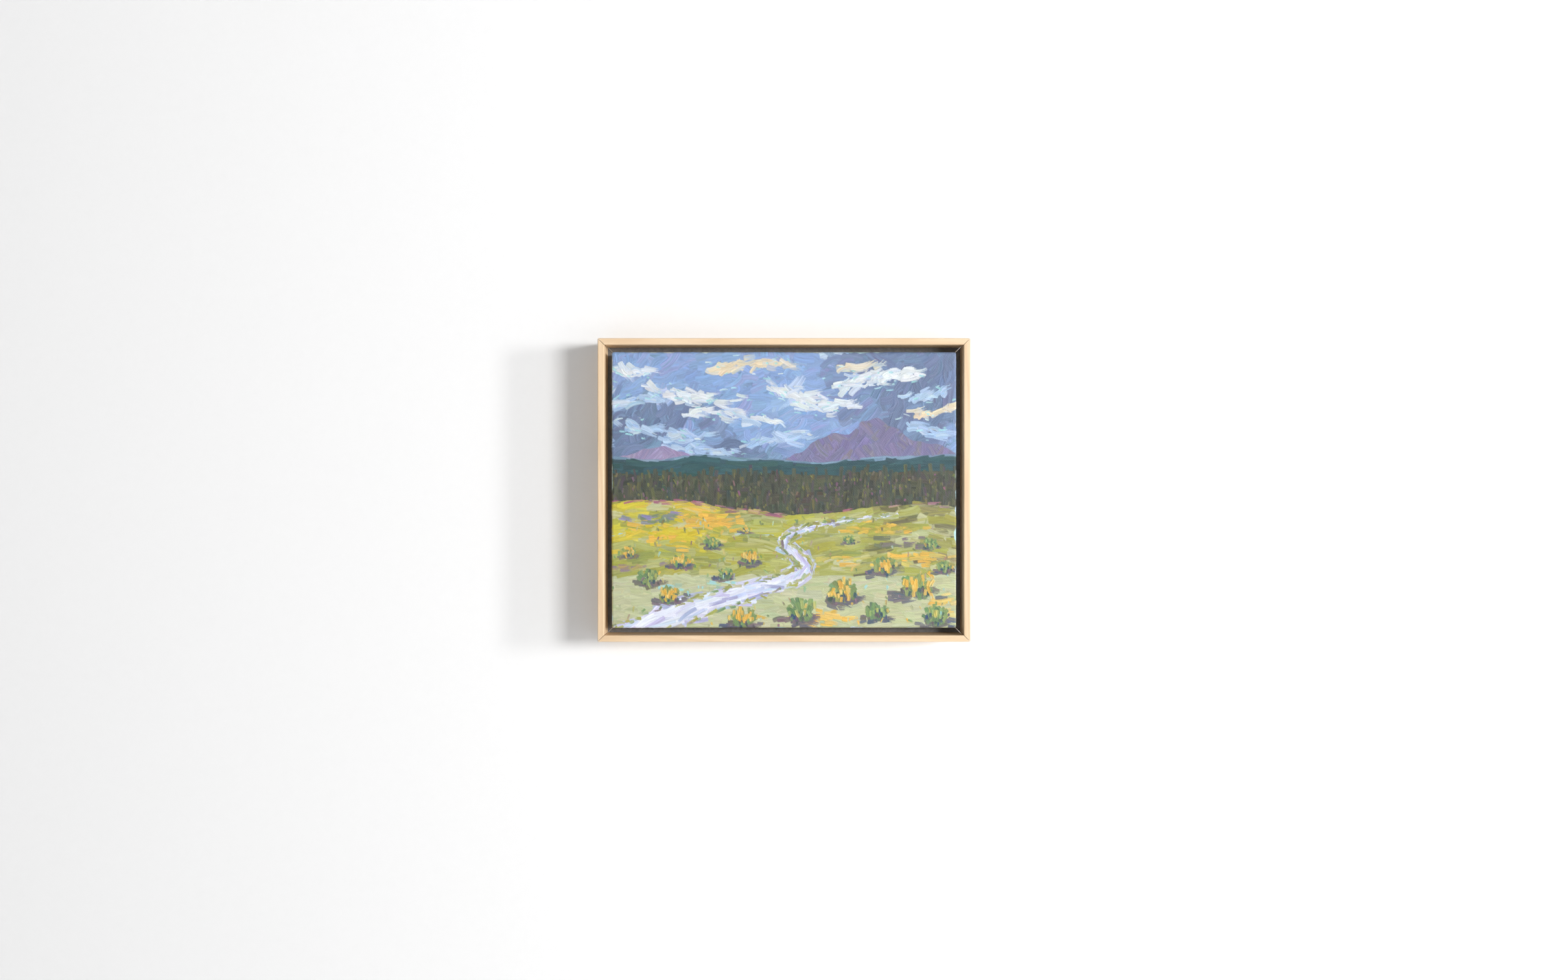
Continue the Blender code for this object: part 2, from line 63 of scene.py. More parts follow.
low, high = cad_box
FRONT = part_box("frame_rail_bottom")[0].y
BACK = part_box("frame_rail_bottom")[1].y
WALL_Y = high[1] + 0.5 * MM
MIDDLE_Z = (low[2] + high[2]) / 2
FLANGE = 8.0 * MM
LEDGE = BACK - FLANGE
HALF_WIDTH, HALF_HEIGHT = high[0], (high[2] - low[2]) / 2


# ------ helpers


def add_object(name, data):
    """A new object in the scene, showing a mesh, curve, light or camera."""
    made = bpy.data.objects.new(name, data)
    bpy.context.scene.collection.objects.link(made)
    return made


def smooth(t):
    """0 to 1 with level ends."""
    return t * t * (3 - 2 * t)


def srgb(*levels):
    """Linear colour of 0-255 screen levels."""
    return tuple(((v / 255 + 0.055) / 1.055) ** 2.4 if v > 10 else v / 3295 for v in levels)


class Nodes:
    """Short calls for building a material's node tree."""

    def __init__(self, name):
        self.material = bpy.data.materials.new(name)
        self.material.use_nodes = True
        self.tree = self.material.node_tree
        self.shader = self.tree.nodes["Principled BSDF"]
        self.space = self.node("ShaderNodeTexCoord").outputs["Object"]

    def node(self, kind, inputs=(), **values):
        """A new node with settings, and with a value or a link for each of the inputs given."""
        made = self.tree.nodes.new(kind)
        for key, value in values.items():
            setattr(made, key, value)
        for key, value in dict(inputs).items():
            self.link(value, made.inputs[key])
        return made

    def link(self, source, target):
        """Link an output to an input, or set the input to a constant."""
        if isinstance(source, (int, float, tuple)):
            target.default_value = source
        else:
            self.tree.links.new(source, target)

    def math(self, what, *values):
        return self.node("ShaderNodeMath", enumerate(values), operation=what).outputs[0]

    def stretched(self, scale, source=None):
        inputs = {"Vector": source or self.space, "Scale": scale}
        return self.node("ShaderNodeMapping", inputs).outputs["Vector"]

    def noise(self, vector, scale, detail=4.0, rough=0.55, distortion=0.0):
        inputs = {"Vector": vector, "Scale": scale, "Detail": detail, "Roughness": rough}
        return self.node("ShaderNodeTexNoise", {**inputs, "Distortion": distortion}).outputs["Fac"]

    def ramp(self, value, stops):
        made = self.node("ShaderNodeValToRGB", {"Fac": value})
        elements = made.color_ramp.elements
        while len(elements) < len(stops):
            elements.new(0.5)
        for element, (place, colour) in zip(elements, stops):
            element.position = place
            element.color = (*colour, 1)
        return made.outputs["Color"]

    def spread(self, value, low_in, high_in, low_out=0.0, high_out=1.0):
        inputs = {"Value": value, "From Min": low_in, "From Max": high_in, "To Min": low_out}
        return self.node("ShaderNodeMapRange", {**inputs, "To Max": high_out}).outputs["Result"]

    def mix(self, factor, a, b, blend="MIX"):
        a, b = ((*c, 1) if isinstance(c, tuple) else c for c in (a, b))
        inputs = {0: factor, 6: a, 7: b}
        return self.node("ShaderNodeMix", inputs, data_type="RGBA", blend_type=blend).outputs[2]

    def bump(self, height, distance, strength=1.0, after=None):
        inputs = {"Strength": strength, "Distance": distance, "Height": height}
        if after is not None:
            inputs["Normal"] = after
        return self.node("ShaderNodeBump", inputs).outputs["Normal"]

    def finish(self, colour=None, roughness=None, normal=None, **constants):
        for socket, value in (("Base Color", colour), ("Roughness", roughness), ("Normal", normal)):
            if value is not None:
                self.link((*value, 1) if isinstance(value, tuple) else value, self.shader.inputs[socket])
        for key, value in constants.items():
            self.shader.inputs[key.replace("_", " ")].default_value = value
        return self.material


# ------ woods


def wood(name, along, pale, middle, dark, ring=26.0, sheen=0.45, painted_ledge=False):
    """Planed wood with its grain along an axis ("X" or "Z"): growth figure, fibres and pores."""
    n = Nodes(name)

    def drawn_out(share):
        return (share, 1, 1) if along == "X" else (1, 1, share)

    run = drawn_out(0.06)
    figure = n.noise(n.stretched(run), ring, 3.0, 0.5, 0.6)
    waves = {
        "Vector": n.stretched(run), "Scale": ring * 3, "Distortion": 9.0, "Detail": 3.0,
        "Detail Scale": 1.5,
    }
    bands = n.node("ShaderNodeTexWave", waves, wave_type="BANDS", bands_direction="DIAGONAL")
    fibres = n.noise(n.stretched(drawn_out(0.02)), 2600, 3.0, 0.6)
    pores = n.noise(n.stretched(drawn_out(0.09)), 1900, 2.0, 0.5)
    pore = n.spread(pores, 0.3, 0.38, 1.0, 0.0)
    tone = n.math("ADD", n.math("MULTIPLY", figure, 0.55), n.math("MULTIPLY", bands.outputs["Fac"], 0.25))
    tone = n.math("ADD", tone, n.math("MULTIPLY", fibres, 0.2))
    colour = n.ramp(tone, [(0.3, dark), (0.48, middle), (0.66, pale)])
    colour = n.mix(n.math("MULTIPLY", pore, 0.35), colour, dark)
    rough = n.spread(fibres, 0.3, 0.7, sheen - 0.06, sheen + 0.1)
    normal = n.bump(fibres, 0.05 * MM, 0.6)
    normal = n.bump(pore, -0.06 * MM, 0.5, normal)
    if painted_ledge:
        colour, rough = ledge_paint(n, colour, rough)
    return n.finish(colour, rough, normal)


def ledge_paint(n, colour, rough):
    """Charcoal paint on the ledge inside the frame, brushed a little up the foot of the wall."""
    x, y, z = n.node("ShaderNodeSeparateXYZ", {0: n.space}).outputs
    wander = n.noise(n.space, 160, 3.0)
    edge = n.math("SUBTRACT", LEDGE, n.math("MULTIPLY", wander, 0.7 * MM))
    over = n.math("MULTIPLY", n.math("GREATER_THAN", y, edge), n.math("LESS_THAN", y, LEDGE + 0.4 * MM))
    inside_x = n.math("LESS_THAN", n.math("ABSOLUTE", x), HALF_WIDTH - 2 * MM)
    level = n.math("ABSOLUTE", n.math("SUBTRACT", z, MIDDLE_Z))
    inside_z = n.math("LESS_THAN", level, HALF_HEIGHT - 2 * MM)
    mask = n.math("MULTIPLY", over, n.math("MULTIPLY", inside_x, inside_z))
    strokes = n.noise(n.stretched((1, 0.3, 1)), 420, 4.0, 0.6)
    charcoal = n.ramp(strokes, [(0.3, srgb(107, 106, 106)), (0.7, srgb(132, 131, 130))])
    return n.mix(mask, colour, charcoal), n.mix(mask, rough, n.spread(strokes, 0.3, 0.7, 0.5, 0.75))


MAPLE_TONES = (srgb(237, 210, 175), srgb(233, 204, 168), srgb(222, 191, 152))
PINE_TONES = (srgb(236, 205, 152), srgb(222, 184, 126), srgb(190, 140, 84))
BEECH_TONES = (srgb(214, 172, 128), srgb(196, 150, 104), srgb(160, 112, 74))
maple = {a: wood(f"maple_along_{a.lower()}", a, *MAPLE_TONES, painted_ledge=True) for a in "XZ"}
pine = {a: wood(f"pine_along_{a.lower()}", a, *PINE_TONES, ring=20, sheen=0.6) for a in "XZ"}
beech = {a: wood(f"beech_along_{a.lower()}", a, *BEECH_TONES, ring=60, sheen=0.6) for a in "XZ"}


def metal(name, colour, rough):
    """Plated or drawn steel: faint scratches and cloudy tarnish."""
    n = Nodes(name)
    scratches = n.noise(n.stretched((1, 1, 0.1)), 2700, 2.0, 0.7)
    cloud = n.noise(n.space, 270, 3.0)
    shade = n.mix(n.spread(cloud, 0.35, 0.7, 0.0, 0.5), colour, tuple(c * 0.72 for c in colour))
    roughness = n.spread(scratches, 0.3, 0.7, rough - 0.08, rough + 0.12)
    return n.finish(shade, roughness, n.bump(scratches, 0.01 * MM, 0.5), Metallic=1.0)


def rubber_finish():
    """Matt black rubber with a fine grain."""
    n = Nodes("black_rubber")
    grain = n.noise(n.space, 2500, 2.0)
    colour = n.ramp(grain, [(0.3, srgb(28, 28, 29)), (0.7, srgb(46, 46, 47))])
    return n.finish(colour, n.spread(grain, 0.3, 0.7, 0.55, 0.75), n.bump(grain, 0.03 * MM, 0.4))


steel = metal("staple_steel", srgb(196, 198, 202), 0.3)
zinc = metal("zinc_plate", srgb(206, 202, 190), 0.32)
nickel = metal("nickel_plate", srgb(214, 211, 204), 0.2)
rubber = rubber_finish()


def dress(name, material):
    """Give a CAD node one material."""
    slots = nodes[name].data.materials
    slots.clear()
    slots.append(material)


for name in nodes:
    if name.startswith(("frame_rail", "stretcher_bar")):
        wood_kind = maple if name.startswith("frame") else pine
        dress(name, wood_kind["X" if name.endswith(("top", "bottom")) else "Z"])
    elif name.startswith("corner_key"):
        dress(name, beech["X" if name.endswith("level") else "Z"])
    elif name.startswith(("staple", "v_nail")):
        dress(name, steel)
    elif name.startswith(("flange_screw", "strap_screw")):
        dress(name, zinc)
    elif name.startswith("hanger"):
        dress(name, nickel)
    elif name.startswith("bumper"):
        dress(name, rubber)

# ------ the painting

CANVAS_LOW, CANVAS_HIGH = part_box("canvas_cloth")
CANVAS_FRONT, CANVAS_BACK = CANVAS_LOW.y, CANVAS_HIGH.y
CANVAS_WIDE = (CANVAS_HIGH.x - CANVAS_LOW.x) / MM
CANVAS_TALL = (CANVAS_HIGH.z - CANVAS_LOW.z) / MM
EDGE_RADIUS = 1.4  # mm, of the cloth round the stretcher's outer edge
WRAP = 4.0  # mm of paint past the front edges
PAINT_RELIEF = 1.5  # rise of the film for each mm of simulated paint
FILM_LIFT = 0.04  # mm of film where there is no paint
DAYLIGHT = np.array([0.945, 0.965, 1.015], np.float32)  # the photo's cool white balance on the paint
DOTS = 3  # raster points per mm
WEAVE_PITCH = 0.9  # mm, of the raised threads that catch a dry brush
HAIR_PITCH, TUFT_PITCH = 0.58, 1.5  # mm across a stroke
HAIR_RUN, TUFT_RUN = 11, 16  # mm along a stroke
FULL_COAT = 0.25  # mm of paint that hides the weave and shines fully
SMEARED = 0.72  # share of the paint under a stroke that the brush pushes away


def ease(low_in, high_in, value):
    """0 below low_in, 1 above high_in, and smooth between them."""
    return smooth(np.clip((value - low_in) / (high_in - low_in), 0, 1))


def read_table(table, rows, columns):
    """A table of random numbers read smoothly between its entries, wrapping round."""
    tall, wide = table.shape
    r0, c0 = np.floor(rows).astype(int), np.floor(columns).astype(int)
    fr, fc = smooth(rows - r0), smooth(columns - c0)
    r0, c0 = r0 % tall, c0 % wide
    r1, c1 = (r0 + 1) % tall, (c0 + 1) % wide
    upper = table[r0, c0] * (1 - fc) + table[r0, c1] * fc
    return upper * (1 - fr) + (table[r1, c0] * (1 - fc) + table[r1, c1] * fc) * fr


class Painting:
    """Oil paint laid stroke by stroke on a raster over the canvas, in mm from its top left corner."""

    def __init__(self, seed):
        self.rng = np.random.default_rng(seed)
        wide, tall = (int((side + 2 * WRAP) * DOTS) + 1 for side in (CANVAS_WIDE, CANVAS_TALL))
        self.x, self.y = np.meshgrid(
            (np.arange(wide) / DOTS - WRAP).astype(np.float32),
            (np.arange(tall) / DOTS - WRAP).astype(np.float32),
        )
        self.colour = np.empty((tall, wide, 3), np.float32)
        self.colour[:] = PRIMER
        self.height = np.zeros((tall, wide), np.float32)
        self.coat = np.zeros((tall, wide), np.float32)
        self.bristle = np.zeros((tall, wide, 3), np.float32)
        turn = 2 * np.pi / WEAVE_PITCH
        self.weave = (0.5 + 0.28 * np.sin(self.y * turn) + 0.22 * np.sin(self.x * turn * 0.93)).astype(
            np.float32
        )
        self.hairs = self.rng.random((64, 256)).astype(np.float32)
        self.strokes = 0

    def cloud(self, size, octaves=4):
        """Smooth noise about 0-1 over the canvas, whose largest features are size (wide, tall) in mm."""
        total, weight, amount = 0.0, 0.0, 1.0
        for octave in range(octaves):
            table = self.rng.random((64, 64)).astype(np.float32)
            sx, sy = (s / 2**octave for s in size)
            total = total + amount * read_table(table, self.y / sy + 3.1, self.x / sx + 7.3)
            weight += amount
            amount *= 0.5
        return total / weight

    def value(self, grid, x, y):
        """A raster's value at a place in mm."""
        tall, wide = grid.shape
        row, column = int((y + WRAP) * DOTS), int((x + WRAP) * DOTS)
        return float(grid[min(max(row, 0), tall - 1), min(max(column, 0), wide - 1)])

    def pick(self, tones):
        return tones[self.rng.integers(len(tones))]

    def vary(self, tone, amount):
        """A tone a little lighter or darker, and a little off in hue."""
        tone = np.asarray(tone, float) * (1 + self.rng.normal(0, 0.025))
        return np.clip(tone + self.rng.normal(0, amount / 2, 3), 0, 255).astype(np.float32)

    def arc(self, x, y, angle, length, bend, points=6):
        """A path with its middle at x, y, at an angle in degrees, turning by bend over its length."""
        turn = math.radians(angle) + math.radians(bend) * np.linspace(-0.5, 0.5, points)
        middle = (turn[1:] + turn[:-1]) / 2
        step = length / (points - 1)
        px = np.concatenate([[0], np.cumsum(np.cos(middle) * step)])
        py = np.concatenate([[0], np.cumsum(np.sin(middle) * step)])
        return np.stack([px + x - px.mean(), py + y - py.mean()], 1).astype(np.float32)

    def follow(self, path, width):
        """The raster points under a brush on a path, with their places across and along it."""
        reach = path.min(0) - width, path.max(0) + width
        tall, wide = self.x.shape
        c0, r0 = (max(int((v + WRAP) * DOTS), 0) for v in reach[0])
        c1, r1 = (int((v + WRAP) * DOTS) + 2 for v in reach[1])
        area = slice(r0, min(r1, tall)), slice(c0, min(c1, wide))
        x, y = self.x[area], self.y[area]
        if x.size == 0:
            return None
        nearest = np.full(x.shape, 1e9, np.float32)
        across, along = np.zeros_like(x), np.zeros_like(x)
        run = 0.0
        last = len(path) - 2
        for i in range(last + 1):
            step = path[i + 1] - path[i]
            length = float(np.hypot(*step)) or 1e-6
            dx, dy = step / length
            rx, ry = x - path[i, 0], y - path[i, 1]
            t = rx * dx + ry * dy
            side = ry * dx - rx * dy
            held = np.clip(t, 0.0 if i else -width, length if i < last else length + width)
            distance = (t - held) ** 2 + side**2
            closer = distance < nearest
            nearest = np.where(closer, distance, nearest)
            across = np.where(closer, side, across)
            along = np.where(closer, run + held, along)
            run += length
        near = np.nonzero(nearest < (0.55 * width) ** 2)
        if not len(near[0]):
            return None
        return near[0] + r0, near[1] + c0, across[near], along[near], run

    def stroke(self, path, width, tone, second, load, dry, within=None, streak=0.65, pick_up=0.2):
        """One brush stroke: load is the paint's depth in mm, and dry how soon the brush runs out."""
        found = self.follow(path, width)
        if found is None:
            return
        rows, columns, across, along, run = found
        self.strokes += 1
        half = width / 2
        shift = self.rng.random(4) * 200
        hair = read_table(self.hairs, along / HAIR_RUN + shift[0], across / HAIR_PITCH + shift[1])
        tuft = read_table(self.hairs, along / TUFT_RUN + shift[2], across / TUFT_PITCH + shift[3])
        u = np.abs(across) / half
        bow = np.sqrt(np.clip(1 - u * u, 0, 1))
        share = along / run
        start = along + half * (0.35 * bow + 0.25 * tuft)
        end = run - along + half * (0.5 * bow - 0.9 * dry * (hair + tuft - 1))
        mask = ease(1.04, 0.9 - 0.1 * tuft.mean(), u + 0.14 * (tuft - 0.5))
        mask = mask * ease(0, 0.5, start) * ease(0, 0.8, end)
        spent = 1.05 * dry * ease(0.1, 1.0, share)
        grip = 0.55 * hair + 0.3 * tuft + 0.35 * self.weave[rows, columns]
        cover = mask * ease(spent - 0.08, spent + 0.1, grip)
        if within is not None:
            cover = cover * within[rows, columns]
        hue = ease(0.25, 0.75, tuft + 0.25 * (hair - 0.5)) * streak
        paint = tone + (second - tone) * hue[:, None]
        # Painted light and shade: the paint is lighter along the bristle ridges and darker in their furrows,
        # partly the paint's own streaks
        paint = paint * (1 + 0.17 * (hair - 0.5))[:, None]
        under = self.colour[rows, columns]
        hit = cover > 0.5
        if hit.any():
            amount = pick_up * (0.4 + 0.6 * tuft)[:, None]
            paint = paint * (1 - amount) + under[hit].mean(0) * amount
        self.colour[rows, columns] = under + (paint - under) * cover[:, None]
        body = load * (0.62 + 0.55 * ease(0.6, 0.95, u)) * (0.45 + 0.75 * hair) * (1.1 - 0.4 * share)
        self.height[rows, columns] = self.height[rows, columns] * (1 - SMEARED * cover) + body * cover
        coat = self.coat[rows, columns] * (1 - 0.3 * cover)
        self.coat[rows, columns] = np.maximum(coat, cover * min(load / FULL_COAT, 1))
        marks = np.stack([across + shift[1], along, np.full_like(along, self.strokes * 0.37)], -1)
        self.bristle[rows[hit], columns[hit]] = marks[hit]

    def dabs(
        self, count, place, tones, others=None, turn=10, length=(5, 10), bend=10, width=(2, 4),
        load=(0.1, 0.2), dry=(0.3, 0.6), vary=6, **more
    ):
        """Many strokes. place() gives each one's middle and its own angle, or None for no stroke.

        turn is the spread of angles, or their mean and spread. load and dry are a number or its limits.
        """
        rng = self.rng
        turn = turn if isinstance(turn, tuple) else (0, turn)
        load, dry = (v if isinstance(v, tuple) else (v, v) for v in (load, dry))
        for _ in range(int(count * (1))):
            spot = place()
            if spot is None:
                continue
            x, y, along = spot
            path = self.arc(x, y, along + rng.normal(*turn), rng.uniform(*length), rng.normal(0, bend))
            tone, second = self.vary(self.pick(tones), vary), self.vary(self.pick(others or tones), vary)
            brush = rng.uniform(*width)
            self.stroke(path, brush, tone, second, rng.uniform(*load), rng.uniform(*dry), **more)


# The palette, in screen levels
PRIMER = (238, 240, 236)
SLATE, PERIWINKLE, BLUE_GREY, LAVENDER = (112, 130, 156), (150, 181, 219), (133, 160, 189), (166, 170, 206)
CREAM, PEACH, AQUA, PALE_BLUE = (240, 242, 234), (249, 226, 182), (172, 226, 220), (182, 208, 230)
TEAL, DARK_TEAL, HAZE = (64, 100, 100), (54, 82, 84), (114, 144, 160)
FOREST, DARK_FOREST, OLIVE = (86, 90, 72), (66, 70, 58), (108, 106, 72)
GRASS, STRAW, YELLOW, GOLD = (172, 170, 74), (208, 207, 156), (226, 204, 62), (248, 192, 80)
ROSE, PLUM, NAVY, LEAF = (180, 100, 128), (110, 90, 102), (50, 80, 116), (116, 154, 96)
LILAC, WHITE = (212, 200, 230), (243, 241, 246)
PEAK_TONES = [(136, 128, 160), (142, 136, 140), (144, 134, 170), (130, 124, 148), (132, 126, 164)]
TRUNKS = [DARK_FOREST, DARK_FOREST, FOREST, FOREST, OLIVE, (68, 82, 78), (118, 114, 68), (96, 80, 88)]
GLINTS = [(152, 92, 120), (138, 136, 74), (120, 102, 108), (130, 126, 66), (108, 120, 76)]
SHADE = [(128, 104, 112), (98, 102, 118), (118, 118, 98), (82, 96, 118)]
# A shrub's leaves and its tips, without and with blossom
LEAVES = ([LEAF, (104, 136, 92), (140, 166, 98), (94, 118, 90)],
          [LEAF, (152, 154, 84), (130, 150, 92), (120, 136, 84)])
TIPS = ([(174, 192, 110), (220, 192, 98), (154, 184, 116)], [GOLD, (250, 208, 114), (240, 180, 74)])


def profile(*points):
    """A smooth line y(x) through points given as shares of the canvas, in mm."""
    xs = np.array([p[0] for p in points]) * CANVAS_WIDE
    ys = np.array([p[1] for p in points]) * CANVAS_TALL

    def line(x):
        i = np.clip(np.searchsorted(xs, x) - 1, 0, len(xs) - 2)
        t = np.clip((x - xs[i]) / (xs[i + 1] - xs[i]), 0, 1)
        return ys[i] + (ys[i + 1] - ys[i]) * t * t * (3 - 2 * t)

    return line


HILLS = profile(
    (-0.05, 0.375), (0.12, 0.39), (0.26, 0.372), (0.42, 0.385), (0.6, 0.4), (0.78, 0.378), (1.05, 0.37),
)
TREE_TOPS = profile((-0.05, 0.44), (0.2, 0.452), (0.45, 0.44), (0.62, 0.448), (0.8, 0.436), (1.05, 0.43))
RIDGE = profile(
    (-0.05, 0.55), (0.1, 0.538), (0.22, 0.545), (0.36, 0.572), (0.5, 0.592), (0.64, 0.582), (0.78, 0.56),
    (0.9, 0.552), (1.05, 0.565),
)
PEAK = profile(
    (-0.05, 0.62), (0.46, 0.42), (0.54, 0.37), (0.6, 0.318), (0.645, 0.292), (0.68, 0.3), (0.735, 0.252),
    (0.77, 0.24), (0.815, 0.27), (0.88, 0.322), (0.94, 0.335), (1.05, 0.4),
)
FAR_PEAK = profile(
    (-0.05, 0.4), (0.04, 0.378), (0.1, 0.352), (0.15, 0.342), (0.2, 0.362), (0.27, 0.4), (1.05, 0.7),
)
# The stream's middle line as shares of the canvas, and its width as a share of the height
STREAM = (
    (0.83, 0.588, 0.005), (0.74, 0.602, 0.009), (0.63, 0.622, 0.014), (0.54, 0.652, 0.02),
    (0.505, 0.692, 0.026), (0.535, 0.735, 0.031), (0.56, 0.78, 0.036), (0.5, 0.83, 0.042),
    (0.38, 0.875, 0.048), (0.25, 0.925, 0.055), (0.12, 0.985, 0.062), (0.0, 1.05, 0.068),
)
# Shrubs: middle as shares of the canvas, size as a share of the height, and whether in bloom
SHRUBS = (
    (0.885, 0.85, 0.06, True), (0.79, 0.775, 0.044, True), (0.925, 0.695, 0.03, False),
    (0.67, 0.87, 0.058, True), (0.4, 0.745, 0.036, True), (0.55, 0.935, 0.058, False),
    (0.29, 0.69, 0.032, False), (0.2, 0.76, 0.034, True), (0.105, 0.815, 0.042, False),
    (0.05, 0.725, 0.028, True), (0.385, 0.965, 0.05, True), (0.165, 0.88, 0.042, True),
    (0.33, 0.805, 0.03, False), (0.77, 0.94, 0.046, False), (0.39, 0.645, 0.018, True),
    (0.69, 0.68, 0.022, False), (0.94, 0.955, 0.05, False), (0.965, 0.78, 0.03, False),
)


def slope(line, x):
    """A line's angle at x, in degrees."""
    return math.degrees(math.atan2(line(x + 5) - line(x - 5), 10))


def paint_landscape():
    """A generic landscape: clouded sky, mountains, a dark forest, and a meadow with a stream and shrubs."""
    p = Painting(seed=11)
    rng = p.rng
    wide, tall = CANVAS_WIDE, CANVAS_TALL
    rim = np.minimum(np.minimum(p.x, wide - p.x), np.minimum(p.y, tall - p.y))
    ragged = (p.cloud((9, 9)) - 0.5) * 5
    ground, field = ease(-2.6, -1.8, rim + ragged), ease(-0.7, 0.1, rim + 1.3 * ragged)

    def anywhere(x0, x1, y0, y1):
        return lambda: (rng.uniform(x0, x1) * wide, rng.uniform(y0, y1) * tall, 0)

    def around(x, y, sx, sy):
        return lambda: ((x + rng.normal(0, sx)) * wide, (y + rng.normal(0, sy)) * tall, 0)

    def between(top, base, x0=-0.02, x1=1.02, over=0.0, under=0.0):
        def place():
            x = rng.uniform(x0, x1) * wide
            upper, lower = top(x) - over, base(x) + under
            return (x, rng.uniform(upper, lower), 0) if lower > upper else None

        return place

    def under_line(line, ragged, size):
        return ease(-0.35, 0.35, p.y - line(p.x) + (p.cloud(size, 3) - 0.5) * 2 * ragged)

    # A thin aqua ground, which shows in gaps and along the edges
    p.dabs(
        260, anywhere(-0.02, 1.02, -0.02, 1.02), [(190, 228, 224), (226, 236, 230)], turn=18,
        length=(40, 70), bend=25, width=(12, 18), load=0.03, dry=0.1, within=ground,
    )
    # Sky: a solid layer, then worked strokes that drift from slate to pale blue
    sky = (1 - ease(-1.5, 1.5, p.y - HILLS(p.x) - 1)) * field
    drift, warm, pale = p.cloud((70, 50), 2), p.cloud((60, 45), 3), p.cloud((48, 34), 3)
    for stormy in (False, True):
        def sky_spot(stormy=stormy):
            x, y = rng.uniform(-6, wide + 6), rng.uniform(-6, 0.44 * tall)
            return (x, y, -8) if (p.value(warm, x, y) < 0.45) == stormy else None

        tones = [SLATE, BLUE_GREY, (124, 135, 166)] if stormy else [BLUE_GREY, PERIWINKLE, (134, 154, 192)]
        p.dabs(
            520, sky_spot, tones, [BLUE_GREY], turn=26, length=(16, 34), bend=40, width=(7, 11),
            load=0.08, dry=0.25, within=sky,
        )
    moods = (
        ("pale", [PALE_BLUE, (208, 220, 234), PERIWINKLE], [PERIWINKLE, (216, 224, 232), LAVENDER]),
        (
            "blue", [PERIWINKLE, (142, 172, 210), (157, 186, 218), (147, 167, 204)],
            [PERIWINKLE, (138, 165, 202), LAVENDER],
        ),
        ("grey", [BLUE_GREY, (131, 155, 190), (138, 150, 182)], [PERIWINKLE, SLATE, BLUE_GREY]),
        (
            "dark", [SLATE, (116, 134, 160), (123, 139, 168), (112, 122, 146)],
            [SLATE, BLUE_GREY, (128, 136, 166)],
        ),
    )

    def mood_at(x, y):
        if p.value(pale, x, y) > 0.63:
            return "pale"
        shade = p.value(warm, x, y)
        return "blue" if shade > 0.51 else "dark" if shade < 0.42 else "grey"

    for _ in range(5):
        for mood, tones, others in moods:
            def sky_spot(mood=mood):
                x, y = rng.uniform(-6, wide + 6), rng.uniform(-6, 0.42 * tall)
                if y > HILLS(x) + 6 or mood_at(x, y) != mood:
                    return None
                return x, y, (p.value(drift, x, y) - 0.5) * 190 - 12

            p.dabs(
                230, sky_spot, tones, others, turn=20, length=(9, 20), bend=62, width=(4, 8),
                load=(0.1, 0.22), dry=(0.25, 0.65), within=sky, streak=0.8, pick_up=0.38,
            )
    # Clouds: thick pale strokes along drifting lines, thinning out to their ends
    for x0, y0, x1, y1, sag, thick, count, tone in (
        (0.64, 0.135, 0.92, 0.08, -0.02, 0.018, 62, CREAM),
        (0.44, 0.115, 0.72, 0.185, 0.03, 0.02, 66, CREAM),
        (0.28, 0.07, 0.54, 0.05, -0.02, 0.012, 46, PEACH),
        (0.1, 0.12, 0.4, 0.16, 0.03, 0.014, 44, CREAM),
        (-0.02, 0.05, 0.16, 0.06, 0.02, 0.012, 22, CREAM),
        (0.87, 0.215, 1.01, 0.19, 0.01, 0.012, 20, PEACH),
        (0.22, 0.225, 0.5, 0.26, -0.02, 0.012, 36, CREAM),
        (0.84, 0.16, 0.98, 0.135, 0.01, 0.01, 20, PALE_BLUE),
        (0.0, 0.25, 0.3, 0.3, 0.02, 0.012, 42, PALE_BLUE),
        (0.38, 0.34, 0.62, 0.3, -0.01, 0.012, 28, PALE_BLUE),
        (0.86, 0.26, 1.01, 0.3, 0.01, 0.012, 18, PALE_BLUE),
        (0.66, 0.055, 0.8, 0.04, 0.01, 0.007, 14, PEACH),
        (-0.02, 0.205, 0.14, 0.175, -0.01, 0.01, 20, PALE_BLUE),
        (0.16, 0.345, 0.4, 0.355, 0.01, 0.01, 22, PALE_BLUE),
    ):
        def cloud_spot(x0=x0, y0=y0, x1=x1, y1=y1, sag=sag, thick=thick):
            t = rng.beta(1.4, 1.6)
            thin = 1 - abs(2 * t - 1) * 0.6
            y = y0 + (y1 - y0) * t + 4 * sag * t * (1 - t) + rng.normal(0, thick) * thin
            lean = (y1 - y0 + 4 * sag * (1 - 2 * t)) * tall
            return (x0 + (x1 - x0) * t) * wide, y * tall, math.degrees(math.atan2(lean, (x1 - x0) * wide))

        p.dabs(
            count, cloud_spot, [tone], [(218, 229, 238), tone, PERIWINKLE, (238, 234, 222)], turn=16,
            length=(5, 15), bend=40, width=(1.8, 4.6), load=(0.16, 0.34), dry=(0.45, 0.85), vary=5,
            within=sky, streak=0.6, pick_up=0.22,
        )

        def fleck_spot(cloud_spot=cloud_spot):
            x, y, lean = cloud_spot()
            return x + rng.normal(0, 5), y + rng.normal(0, 5), lean

        p.dabs(
            count // 3, fleck_spot, [AQUA, AQUA, CREAM], turn=16, length=(2, 7), bend=30,
            width=(0.7, 1.6), load=0.1, dry=(0.6, 0.8), within=sky, pick_up=0.3,
        )
